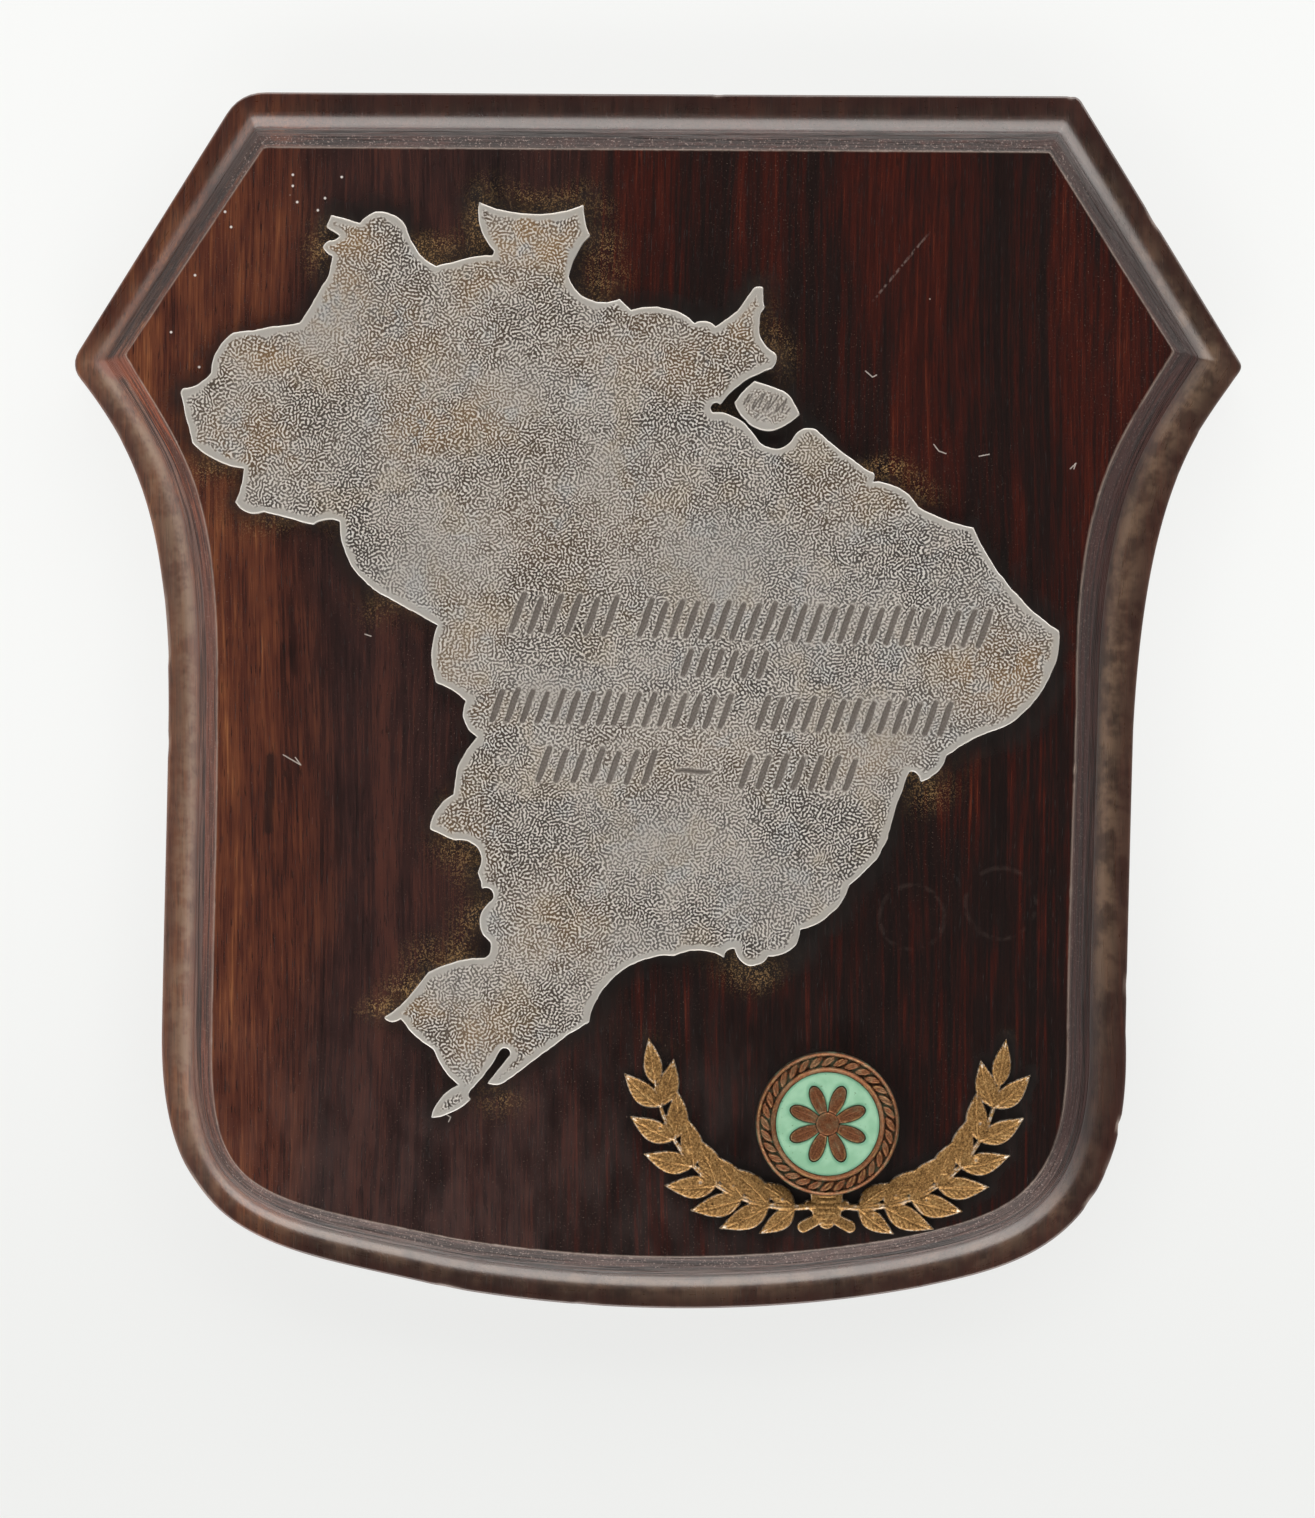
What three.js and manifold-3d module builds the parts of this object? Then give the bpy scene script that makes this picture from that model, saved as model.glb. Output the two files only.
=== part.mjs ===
// Commemorative wall plaque: a routed hardwood shield that carries a sawn and
// etched metal plate in the outline of a country, a small island plate beside it,
// and a gilt laurel spray with an enamelled medallion.
//
// Millimetres, +Z up, front of the plaque towards -Y. The flat back of the board
// lies in the plane y = 0 and the origin is in the middle of that back face.

import * as THREE from 'three';
import { mergeVertices } from 'three/addons/utils/BufferGeometryUtils.js';
import Module from 'manifold-3d';

const wasm = await Module();
wasm.setup();

// ---------------------------------------------------------------- dimensions

const BOARD_T = 19;          // thickness of the board
const RIM_Y = 11.5;          // height of the thin lip at the outer edge
const BACK_CHAMFER = 0.8;    // broken edge round the back
const ARRIS_STEP = 0.5;      // fillet step just outside the raised panel
const BAND_DROP = 2.0;       // fall of the band inside the moulding
const LIP_ROUND = 0.6;       // round-over of the lip
const FLANGE_W = 3.0;        // where the flat flange ends and the cove starts, from the edge
const COVE_W = 6.85;         // where the cove ends and the steep step starts
const COVE_RISE = 2.2;       // rise of the cove
const STEP_W = 8.5;          // where the steep step meets the band

const PLATE_T = 2.0;         // map and island plates
const PLATE_BEVEL = 0.25;    // broken edge of both plates
const STROKE_DEPTH = 0.25;   // engraved strokes
const STROKE_W = 1.1;
const STROKE_LEAN = 20;      // degrees that the strokes lean to the right
const ROW_FALL = 1.6;        // degrees that the rows run down to the right

const SPRAY_T = 1.6;         // laurel spray, at its stems
const SPRAY_C = [33.6, -83.6]; // centre of the medallion on the board, x and z
const MEDAL_R = 14.2;
const MEDAL_T = 2.6;
const MEDAL_RECESS_R = 10.3; // ground that the enamel fills
const MEDAL_RECESS_D = 1.0;
const PETALS = 8;
const PETAL_L = 3.4;         // half length and half width of a petal
const PETAL_W = 1.35;
const PETAL_AT = 4.6;        // distance of a petal's middle from the centre
const GAP = 0.3;             // free gap between fitted pieces

// ------------------------------------------------------------------- helpers

const V = (x, z) => [x, z];
const lerp = (a, b, t) => a + (b - a) * t;
const rad = THREE.MathUtils.degToRad;

function bezier(p0, p1, p2, p3, t) {
  const s = 1 - t;
  const w = [s * s * s, 3 * s * s * t, 3 * s * t * t, t * t * t];
  return [0, 1].map((k) => w[0] * p0[k] + w[1] * p1[k] + w[2] * p2[k] + w[3] * p3[k]);
}

// Indexed triangles to a three.js geometry, vertices merged.
function toGeometry(points, faces) {
  const g = new THREE.BufferGeometry();
  g.setAttribute('position', new THREE.Float32BufferAttribute(points.flat(), 3));
  g.setIndex(faces.flat());
  return mergeVertices(g, 1e-5);
}

function toManifold(geometry) {
  const g = geometry.clone();
  for (const name of Object.keys(g.attributes)) if (name !== 'position') g.deleteAttribute(name);
  const m = mergeVertices(g, 1e-4);
  return new wasm.Manifold(new wasm.Mesh({
    numProp: 3,
    vertProperties: new Float32Array(m.attributes.position.array),
    triVerts: new Uint32Array(m.index.array),
  }));
}

function fromManifold(solid) {
  const mesh = solid.getMesh();
  const g = new THREE.BufferGeometry();
  g.setAttribute('position', new THREE.BufferAttribute(new Float32Array(mesh.vertProperties), 3));
  g.setIndex(new THREE.BufferAttribute(new Uint32Array(mesh.triVerts), 1));
  return g;
}

function unite(list) {
  let out = list[0];
  for (let i = 1; i < list.length; i++) out = out.add(list[i]);
  return out;
}

// A closed solid through a stack of rings with equal counts. Every ring is a list
// of [x, z], given clockwise as seen from the front, with its own distance in
// front of the back plane. The first ring is the back and the last one the front.
function stack(rings, depths) {
  const n = rings[0].length;
  const pts = [];
  const faces = [];
  rings.forEach((ring, i) => ring.forEach(([x, z]) => pts.push([x, -depths[i], z])));
  for (let i = 0; i + 1 < rings.length; i++) {
    for (let j = 0; j < n; j++) {
      const a = i * n + j, b = i * n + ((j + 1) % n), c = a + n, d = b + n;
      faces.push([a, d, b], [a, c, d]);
    }
  }
  const cap = (i, flip) => {
    const contour = rings[i].map(([x, z]) => new THREE.Vector2(x, z));
    for (const f of THREE.ShapeUtils.triangulateShape(contour, [])) {
      const t = f.map((k) => i * n + k);
      const [p, q, r] = f.map((k) => contour[k]);
      const area = (q.x - p.x) * (r.y - p.y) - (q.y - p.y) * (r.x - p.x);
      const front = area > 0;                 // counter-clockwise seen from the front
      faces.push(front !== flip ? t : [t[0], t[2], t[1]]);
    }
  };
  cap(0, true);
  cap(rings.length - 1, false);
  return toGeometry(pts, faces);
}

// A contour grown (+) or shrunk (-) by d, each point moved along its bisector.
function offset(ring, d) {
  const n = ring.length;
  return ring.map((p, i) => {
    const a = ring[(i + n - 1) % n], b = ring[(i + 1) % n];
    const u = [p[0] - a[0], p[1] - a[1]], v = [b[0] - p[0], b[1] - p[1]];
    const lu = Math.hypot(...u), lv = Math.hypot(...v);
    // outward normals of a clockwise contour
    const nu = [-u[1] / lu, u[0] / lu], nv = [-v[1] / lv, v[0] / lv];
    const m = [nu[0] + nv[0], nu[1] + nv[1]];
    const k = 1 + nu[0] * nv[0] + nu[1] * nv[1];
    const s = d / Math.max(k, 0.5);
    return [p[0] + m[0] * s, p[1] + m[1] * s];
  });
}

// --------------------------------------------------------------- the shield

// The outline and the edge of the raised panel are drawn with the same stretches:
// straight top and shoulders, sides that curve in, rounded lower corners and a
// shallow bottom curve. Each landmark has a place on the outline and on the panel.
const OUTLINE = {
  topLeft: V(-84.4, 121.4), topRight: V(83.3, 121.3),
  tipRight: V(116.5, 67.3), tipLeft: V(-118.3, 66.5),
  waistRight: V(94.9, -5.5), waistLeft: V(-98.2, -3.0),
  lowRight: V(93.65, -66), lowLeft: V(-99.25, -66),
  footRight: V(52.7, -117.2), footLeft: V(-43.3, -117.4),
  pull: {
    flareRight: [V(109.3, 56.1), V(97.4, 46.6)],
    wallRight: [V(94.5, -22), V(94.0, -46)],
    cornerRight: [V(95.7, -109.2), V(71.1, -113.1)],
    foot: [V(11.3, -125.2), V(-26.6, -120.5)],
    cornerLeft: [V(-75.0, -109.8), V(-100.0, -110.2)],
    wallLeft: [V(-99.0, -46), V(-98.4, -24)],
    flareLeft: [V(-98.2, 32.4), V(-103.2, 48.7)],
  },
  round: { topLeft: 5.2, topRight: 1.4, tipRight: 1.2, tipLeft: 3.6 },
};
const PANEL = {
  topLeft: V(-78.9, 109.2), topRight: V(76.9, 108.9),
  tipRight: V(101.6, 69.6), tipLeft: V(-106.1, 68.0),
  waistRight: V(82.7, 0.4), waistLeft: V(-87.6, -0.4),
  lowRight: V(81.2, -65.1), lowLeft: V(-88.4, -65.8),
  footRight: V(48.2, -106.4), footLeft: V(-41.0, -106.8),
  pull: {
    flareRight: [V(90.1, 50.6), V(82.3, 42)],
    wallRight: [V(82.2, -20), V(81.3, -45)],
    cornerRight: [V(81.8, -97), V(72, -101.5)],
    foot: [V(20, -111.6), V(-12, -111.6)],
    cornerLeft: [V(-81.7, -98.5), V(-89.0, -99.1)],
    wallLeft: [V(-88.1, -45), V(-87.4, -20)],
    flareLeft: [V(-87.2, 43), V(-94.5, 48.2)],
  },
  round: { topLeft: 1.6, topRight: 0.8, tipRight: 0.8, tipLeft: 2.2 },
};
const STEPS = { top: 1, shoulder: 1, flare: 10, wall: 3, corner: 13, foot: 10, round: 4 };

function shieldRing(o) {
  const between = (a, b) => (t) => [lerp(a[0], b[0], t), lerp(a[1], b[1], t)];
  const curve = (a, pull, b) => (t) => bezier(a, pull[0], pull[1], b, t);
  const stretches = [
    { f: between(o.topLeft, o.topRight), n: STEPS.top, from: o.round.topLeft, to: o.round.topRight },
    { f: between(o.topRight, o.tipRight), n: STEPS.shoulder, from: o.round.topRight, to: o.round.tipRight },
    { f: curve(o.tipRight, o.pull.flareRight, o.waistRight), n: STEPS.flare, from: o.round.tipRight, to: 0 },
    { f: curve(o.waistRight, o.pull.wallRight, o.lowRight), n: STEPS.wall, from: 0, to: 0 },
    { f: curve(o.lowRight, o.pull.cornerRight, o.footRight), n: STEPS.corner, from: 0, to: 0 },
    { f: curve(o.footRight, o.pull.foot, o.footLeft), n: STEPS.foot, from: 0, to: 0 },
    { f: curve(o.footLeft, o.pull.cornerLeft, o.lowLeft), n: STEPS.corner, from: 0, to: 0 },
    { f: curve(o.lowLeft, o.pull.wallLeft, o.waistLeft), n: STEPS.wall, from: 0, to: 0 },
    { f: curve(o.waistLeft, o.pull.flareLeft, o.tipLeft), n: STEPS.flare, from: 0, to: o.round.tipLeft },
    { f: between(o.tipLeft, o.topLeft), n: STEPS.shoulder, from: o.round.tipLeft, to: o.round.topLeft },
  ];
  // part of a stretch that lies within the length d of its start
  const share = (f, d, end) => {
    const p = f(end ? 1 : 0);
    let t = 0;
    for (let i = 1; i <= 200; i++) {
      t = i / 200;
      const q = f(end ? 1 - t : t);
      if (Math.hypot(q[0] - p[0], q[1] - p[1]) >= d) break;
    }
    return d > 0 ? t : 0;
  };
  const ring = [];
  stretches.forEach((s, i) => {
    const t0 = share(s.f, s.from, false), t1 = 1 - share(s.f, s.to, true);
    const last = s.to > 0;
    for (let k = 0; k < s.n + (last ? 1 : 0); k++) ring.push(s.f(lerp(t0, t1, k / s.n)));
    if (last) {                              // rounded corner up to the next stretch
      const next = stretches[(i + 1) % stretches.length];
      const a = s.f(t1), c = s.f(1), b = next.f(share(next.f, next.from, false));
      for (let k = 1; k < STEPS.round; k++) {
        const t = k / STEPS.round, u = 1 - t;
        ring.push([0, 1].map((j) => u * u * a[j] + 2 * u * t * c[j] + t * t * b[j]));
      }
    }
  });
  return ring;
}

function shieldBoard() {
  const edge = shieldRing(OUTLINE);
  const panel = shieldRing(PANEL);
  const mix = (f) => edge.map((p, i) => [lerp(p[0], panel[i][0], f), lerp(p[1], panel[i][1], f)]);
  // across the moulding: share of the way from the outline to the panel, and depth
  // below the panel face
  const W = 11;                              // mean width of the moulding
  const coveFoot = BOARD_T - RIM_Y;
  const profile = [[0, coveFoot + LIP_ROUND], [0.3 * LIP_ROUND / W, coveFoot + 0.28 * LIP_ROUND],
    [LIP_ROUND / W, coveFoot]];
  const COVE = 5;
  for (let k = 0; k <= COVE; k++) {          // rises ever faster towards the step
    const t = k / COVE;
    profile.push([lerp(FLANGE_W, COVE_W, t) / W, coveFoot - 0.08 - COVE_RISE * t * t]);
  }
  profile.push([STEP_W / W, BAND_DROP], [9.7 / W, 0.68 * BAND_DROP], [0.985, ARRIS_STEP], [1, 0]);
  const rings = [offset(edge, -BACK_CHAMFER), edge];
  const depths = [0, BACK_CHAMFER];
  for (const [f, d] of profile) {
    rings.push(mix(f));
    depths.push(BOARD_T - d);
  }
  return stack(rings, depths);
}

// ------------------------------------------------------------ the map plate

// The sawn edge is a chain of shallow arcs, as a piercing saw leaves it. Each
// entry is a landmark and the swell of the arc that leads to it, as the sagitta
// over half the chord: + swells outwards, - curves into the plate, 0 is straight.
// The chain starts at the western tip and runs clockwise seen from the front.
const COAST = {
  westernHead: [[-93.9, 61.2, 0.52], [-88.9, 64.4, -0.23], [-84.5, 72.2, 0.26], [-71.4, 74.2, 0], [-66.4, 82.5, 0]],
  northWestSpurs: [[-65.0, 87.6, -0.1], [-66.8, 89.2, 0.2], [-65.5, 90.6, 0.25], [-63.6, 91.5, -0.2], [-66.4, 93.3, 0],
    [-65.3, 95.7, 0], [-59.6, 94.0, 0], [-50.5, 93.3, 0.58]],
  northernBay: [[-44.5, 85.4, -0.21], [-33.4, 87.7, 0.09], [-33.0, 88.9, -0.29]],
  northernBlock: [[-36.0, 98.3, 0.28], [-15.4, 97.8, -0.19], [-14.2, 91.9, -0.12], [-18.3, 83.8, -0.17]],
  northCoast: [[-8.2, 79.4, -0.5], [-5.9, 77.0, -0.05], [6.7, 74.6, 0.27], [10.8, 73.9, 0.36]],
  northCape: [[18.1, 81.1, -0.13], [20.2, 81.6, 0.38], [20.5, 77.7, -0.07], [22.6, 68.5, -0.44]],
  riverMouth: [[22.0, 65.7, 0.3], [11.8, 58.5, -0.17], [10.4, 57.0, -1.05], [19.2, 51.8, 0.24], [26.3, 51.9, -0.61]],
  northEastCoast: [[30.9, 53.5, 0.45], [42.2, 45.0, -0.05], [41.8, 43.1, 0.21], [50.9, 38.4, 0.33], [62.0, 34.4, -0.08]],
  easternShoulder: [[79.0, 13.9, -0.14], [67.0, -5.6, 0.3], [56.9, -10.8, -0.08], [51.9, -15.8, 0.26], [49.6, -14.1, -0.47]],
  southEastCoast: [[45.4, -27.2, -0.06], [37.8, -36.4, 0.13], [28.1, -45.4, 0.28], [21.7, -50.5, 0.45]],
  southernBay: [[15.2, -49.2, 0.81], [13.0, -50.8, -0.53], [3.3, -50.7, -0.26], [-13.7, -63.8, -0.38]],
  southernFoot: [[-29.3, -75.2, -0.04], [-35.1, -75.0, 0.41], [-44.7, -82.8, 0.35], [-39.4, -76.4, 0.25],
    [-44.4, -69.4, 0.15], [-50.9, -63.4, 0.07], [-54.0, -63.1, 0.41]],
  southWestHollow: [[-45.5, -54.1, -0.09], [-34.3, -51.3, 0.11], [-33.3, -47.9, -0.35], [-33.1, -39.9, 0.51]],
  westernTeeth: [[-35.0, -37.6, -0.95], [-35.7, -34.3, -0.13], [-40.1, -27.8, -0.65], [-45.1, -25.7, 0.07],
    [-40.6, -18.9, 0.29], [-36.0, -7.5, 0.2], [-38.3, -0.4, 0.4]],
  westernEdge: [[-44.1, 3.3, -0.09], [-44.0, 14.5, 0.19], [-54.1, 20.3, 0], [-63.3, 35.0, 0.3]],
  westernShelf: [[-68.6, 34.4, -0.25], [-78.4, 36.9, 0], [-84.1, 38.8, 0.41], [-82.4, 45.4, -0.08], [-92.5, 50.5, 0.18],
    [-94.9, 59.8, 0]],
};

function coastRing(step) {
  const marks = Object.values(COAST).flat();
  const ring = [];
  marks.forEach(([x, z, swell], i) => {
    const [px, pz] = marks[(i + marks.length - 1) % marks.length];
    const chord = Math.hypot(x - px, z - pz);
    const bent = Math.max(Math.round((chord * (1 + 0.5 * Math.abs(swell))) / step), Math.abs(swell) > 0.3 ? 3 : 2);
    const n = swell === 0 ? 1 : bent;
    const nx = -(z - pz) / chord, nz = (x - px) / chord;      // left of the way travelled
    const sag = (swell * chord) / 2;
    for (let k = 1; k <= n; k++) {
      let s = (k / n) * chord, h = 0;
      if (Math.abs(sag) > 1e-6) {
        const r = (chord * chord / 4 + sag * sag) / (2 * sag);
        const half = 2 * Math.atan(swell);                    // half the arc's angle
        const a = lerp(-half, half, k / n);
        s = chord / 2 + r * Math.sin(a);
        h = sag - r + r * Math.cos(a);
      }
      ring.push([px + ((x - px) / chord) * s + nx * h, pz + ((z - pz) / chord) * s + nz * h]);
    }
  });
  return ring;
}

// A tapered groove through a list of [x, z], as a closed wedge that cuts into the
// front of a plate whose face is at the distance top in front of the back plane.
function groove(path, width, top, depth) {
  const above = 0.6;
  const pts = [], faces = [];
  const n = path.length;
  path.forEach((p, i) => {
    const a = path[Math.max(0, i - 1)], b = path[Math.min(n - 1, i + 1)];
    const l = Math.hypot(b[0] - a[0], b[1] - a[1]);
    const nx = -(b[1] - a[1]) / l, nz = (b[0] - a[0]) / l;
    const w = width * 0.5 * (n > 2 ? 0.55 + 0.45 * Math.sin(Math.PI * (0.12 + 0.76 * i / (n - 1))) : 0.9);
    for (const [k, y] of [[w, top + above], [-w, top + above], [-0.6 * w, top - depth], [0.6 * w, top - depth]]) {
      pts.push([p[0] + nx * k, -y, p[1] + nz * k]);
    }
  });
  for (let i = 0; i + 1 < n; i++) {
    for (let k = 0; k < 4; k++) {
      const a = 4 * i + k, b = 4 * i + ((k + 1) % 4), c = a + 4, d = b + 4;
      faces.push([a, b, d], [a, d, c]);
    }
  }
  faces.push([0, 2, 1], [0, 3, 2]);
  const e = 4 * (n - 1);
  faces.push([e, e + 1, e + 2], [e, e + 2, e + 3]);
  const solid = toManifold(toGeometry(pts, faces));
  if (solid.volume() < 0) return toManifold(toGeometry(pts, faces.map(([a, b, c]) => [a, c, b])));
  return solid;
}

// Four rows of plain leaning strokes where the plate carries its engraving. A row
// has the foot of its first stroke, and runs of strokes: from and to along x, the
// height of a stroke, and the pitch.
const ROWS = [
  { x: -29.4, z: 13.5, runs: [[-29.4, -11.0, 7.3, 3.7], [-4.0, 63.0, 7.0, 3.05]] },
  { x: 4.7, z: 5.1, runs: [[4.7, 19.5, 5.0, 2.95]] },
  { x: -33.1, z: -4.1, runs: [[-33.1, 12.0, 6.2, 3.0], [19.4, 55.5, 6.2, 3.0]] },
  { x: -23.9, z: -15.9, runs: [[-23.9, -3.0, 6.3, 3.5], [16.2, 36.8, 6.3, 3.45]], dash: [3.6, 10.0] },
];

function strokePlan() {
  const fall = Math.tan(rad(ROW_FALL));
  const list = [];
  for (const row of ROWS) {
    const foot = (x) => row.z - (x - row.x) * fall;
    for (const [from, to, height, pitch] of row.runs) {
      const count = Math.round((to - from) / pitch);
      for (let i = 0; i <= count; i++) {
        const x = lerp(from, to, i / count);
        const h = height * (0.96 + 0.05 * Math.sin(2.3 * i + from));
        list.push({ from: [x, foot(x)], to: [x + h * Math.tan(rad(STROKE_LEAN)), foot(x) + h] });
      }
    }
    if (row.dash) list.push({ from: [row.dash[0], foot(row.dash[0]) + 2.7], to: [row.dash[1], foot(row.dash[1]) + 2.7] });
  }
  return list;
}

function strokes() {
  return strokePlan().map(({ from, to }) => groove([from, to], STROKE_W, BOARD_T + PLATE_T, STROKE_DEPTH));
}

// The narrow slot that is open at its lower end, and the round-ended notch.
const SLOT = { head: V(-30.2, -70.1), mouth: V(-35.7, -77.4), width: 1.7 };

function bar(a, b, width, y0, y1, sides = 6) {
  const dir = Math.atan2(b[1] - a[1], b[0] - a[0]);
  const ring = [];
  const r = width / 2;
  for (let k = 0; k <= sides; k++) {          // round end at a
    const t = dir + Math.PI / 2 + (Math.PI * k) / sides;
    ring.push([a[0] + r * Math.cos(t), a[1] + r * Math.sin(t)]);
  }
  ring.push([b[0] + r * Math.cos(dir - Math.PI / 2), b[1] + r * Math.sin(dir - Math.PI / 2)]);
  ring.push([b[0] + r * Math.cos(dir + Math.PI / 2), b[1] + r * Math.sin(dir + Math.PI / 2)]);
  return toManifold(stack([ring.reverse(), ring], [y0, y1]));
}

function plate(ring, front) {
  const lowered = offset(ring, -PLATE_BEVEL);
  return stack([ring, ring, lowered], [BOARD_T, front - PLATE_BEVEL, front]);
}

function mapPlate() {
  const front = BOARD_T + PLATE_T;
  let solid = toManifold(plate(coastRing(3.4), front));
  solid = solid.subtract(bar(SLOT.head, SLOT.mouth, SLOT.width, BOARD_T - 1, front + 1));
  solid = solid.subtract(unite(strokes()));
  return fromManifold(solid);
}

// The island: landmarks and swells, as in COAST.
const ISLAND = [[18.6, 63.1, 0.1], [24.4, 61.1, 0.04], [26.4, 58.8, 0.16], [27.5, 56.6, 0.1], [25.0, 54.7, 0.06],
  [22.9, 53.6, 0.1], [19.2, 53.8, 0.2], [16.9, 55.4, 0.16], [14.7, 58.9, 0.16]];

function islandPlate() {
  const ring = [];
  ISLAND.forEach(([x, z, swell], i) => {
    const [px, pz] = ISLAND[(i + ISLAND.length - 1) % ISLAND.length];
    const nx = -(z - pz), nz = x - px;
    for (const t of [0.5, 1]) {
      const h = swell * 2 * t * (1 - t);
      ring.push([lerp(px, x, t) + nx * h, lerp(pz, z, t) + nz * h]);
    }
  });
  return plate(ring, BOARD_T + PLATE_T);
}

// --------------------------------------------------------- the laurel spray

// A leaf is a pointed oval that stands on the board, with a raised midrib and a
// slightly lower tip.
const LEAF = { rim: 0.75, ridge: 1.5, tip: 0.95 };

function leaf(root, angle, length, width) {
  const dir = [Math.cos(angle), Math.sin(angle)], side = [-dir[1], dir[0]];
  const outline = [];
  const N = 4;
  const shape = (t) => Math.sin(Math.PI * Math.pow(t, 0.8)) * (1 - 0.15 * t);
  for (let i = 0; i <= N; i++) outline.push([i / N, shape(i / N)]);
  const ring = [];
  for (let i = 0; i <= N; i++) ring.push([outline[i][0], outline[i][1]]);
  for (let i = N - 1; i > 0; i--) ring.push([outline[i][0], -outline[i][1]]);
  const place = (t, w) => [root[0] + dir[0] * t * length + side[0] * w * width * 0.5,
    root[1] + dir[1] * t * length + side[1] * w * width * 0.5];
  const n = ring.length;
  const pts = [], faces = [];
  ring.forEach(([t, w]) => { const p = place(t, w); pts.push([p[0], -BOARD_T, p[1]]); });
  ring.forEach(([t, w]) => { const p = place(t, w); pts.push([p[0], -(BOARD_T + lerp(LEAF.rim, LEAF.tip, t)), p[1]]); });
  const ridge = [];
  for (let i = 1; i < N; i++) {
    const p = place(i / N, 0);
    ridge.push(pts.length);
    pts.push([p[0], -(BOARD_T + lerp(LEAF.ridge, LEAF.tip + 0.2, i / N)), p[1]]);
  }
  for (let i = 0; i < n; i++) {
    const a = i, b = (i + 1) % n;
    faces.push([a, b, b + n], [a, b + n, a + n]);
  }
  for (let i = 1; i + 1 < n; i++) faces.push([0, i + 1, i]);   // back
  const up = (i) => n + (i % n);
  faces.push([up(0), up(1), ridge[0]], [up(n - 1), up(0), ridge[0]]);
  for (let i = 1; i < N - 1; i++) {
    faces.push([up(i), up(i + 1), ridge[i]], [up(i), ridge[i], ridge[i - 1]]);
    faces.push([up(n - i - 1), up(n - i), ridge[i - 1]], [up(n - i - 1), ridge[i - 1], ridge[i]]);
  }
  faces.push([up(N - 1), up(N), ridge[N - 2]], [up(N), up(N + 1), ridge[N - 2]]);
  let solid = toManifold(toGeometry(pts, faces));
  if (solid.volume() < 0) solid = toManifold(toGeometry(pts, faces.map(([a, b, c]) => [a, c, b])));
  return solid;
}

// The path of one sprig from the tied stems under the medallion, out and up.
const SPRIG = {
  start: V(2.6, -16.4), pull: [V(14, -18.4), V(31.5, -12.5)], end: V(34.2, 9.0),
  leaves: 7, leafLength: 12.2, leafWidth: 5.8, stem: 1.6,
};

function sprig(side) {
  const at = (t) => {
    const p = bezier(SPRIG.start, SPRIG.pull[0], SPRIG.pull[1], SPRIG.end, t);
    return [SPRAY_C[0] + side * p[0], SPRAY_C[1] + p[1]];
  };
  const heading = (t) => {
    const a = at(Math.max(0, t - 0.02)), b = at(Math.min(1, t + 0.02));
    return Math.atan2(b[1] - a[1], b[0] - a[0]);
  };
  const parts = [];
  const bars = 8;
  for (let i = 0; i < bars; i++) {
    const a = at(i / bars), b = at((i + 1.12) / bars);
    parts.push(bar(a, b, lerp(SPRIG.stem, 0.9, i / bars), BOARD_T, BOARD_T + lerp(SPRAY_T, 1.2, i / bars), 4));
  }
  for (let i = 0; i < SPRIG.leaves; i++) {
    const t = lerp(0.1, 0.9, i / (SPRIG.leaves - 1));
    const size = lerp(0.94, 0.8, t) * (i === 0 ? 0.8 : 1);
    for (const s of [-1, 1]) {
      const spread = rad(lerp(35, 31, t)) * s;
      parts.push(leaf(at(t), heading(t) + spread, SPRIG.leafLength * size, SPRIG.leafWidth * size));
    }
  }
  parts.push(leaf(at(0.97), heading(0.98), SPRIG.leafLength * 0.8, SPRIG.leafWidth * 0.7));
  return parts;
}

function disc(r, y0, y1, n, r1 = r) {
  const ring = (rr) => {
    const out = [];
    for (let k = 0; k < n; k++) {
      const a = -(2 * Math.PI * k) / n;
      out.push([SPRAY_C[0] + rr * Math.cos(a), SPRAY_C[1] + rr * Math.sin(a)]);
    }
    return out;
  };
  return toManifold(stack([ring(r), ring(r1)], [y0, y1]));
}

function laurelSpray() {
  const at = (x, z) => [SPRAY_C[0] + x, SPRAY_C[1] + z];
  const top = BOARD_T + SPRAY_T;
  const neck = bar(at(0, -8), at(0, -17.2), 7.0, BOARD_T, top, 6);
  const tie = bar(at(0, -14.2), at(0, -19.6), 3.4, BOARD_T, top, 4);
  const tails = [-1, 1].map((s) => bar(at(s * 3.6, -16.2), at(s * -4.6, -20.6), 1.6, BOARD_T, BOARD_T + 1.2, 4));
  const all = [disc(MEDAL_R - 1.2, BOARD_T, top, 36), neck, tie, ...tails, ...sprig(1), ...sprig(-1)];
  return fromManifold(unite(all));
}

// ------------------------------------------------------------ the medallion

function petal(k, grow, y0, y1) {
  const a = (2 * Math.PI * k) / PETALS + Math.PI / PETALS;
  const n = 10, ring = [];
  for (let i = 0; i < n; i++) {
    const t = -(2 * Math.PI * i) / n;
    const u = PETAL_AT + (PETAL_L + grow) * Math.cos(t);
    const w = (PETAL_W + grow) * Math.sin(t) * (1 + 0.25 * Math.cos(t));
    ring.push([SPRAY_C[0] + u * Math.cos(a) - w * Math.sin(a), SPRAY_C[1] + u * Math.sin(a) + w * Math.cos(a)]);
  }
  return toManifold(stack([ring, ring], [y0, y1]));
}

function rosette(grow, y0, y1) {
  const list = [disc(2.4 + grow, y0, y1, 24)];
  for (let k = 0; k < PETALS; k++) list.push(petal(k, grow, y0, y1));
  return unite(list);
}

const MEDAL_Y = BOARD_T + SPRAY_T;
const GROUND_Y = MEDAL_Y + MEDAL_T - MEDAL_RECESS_D;

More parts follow.
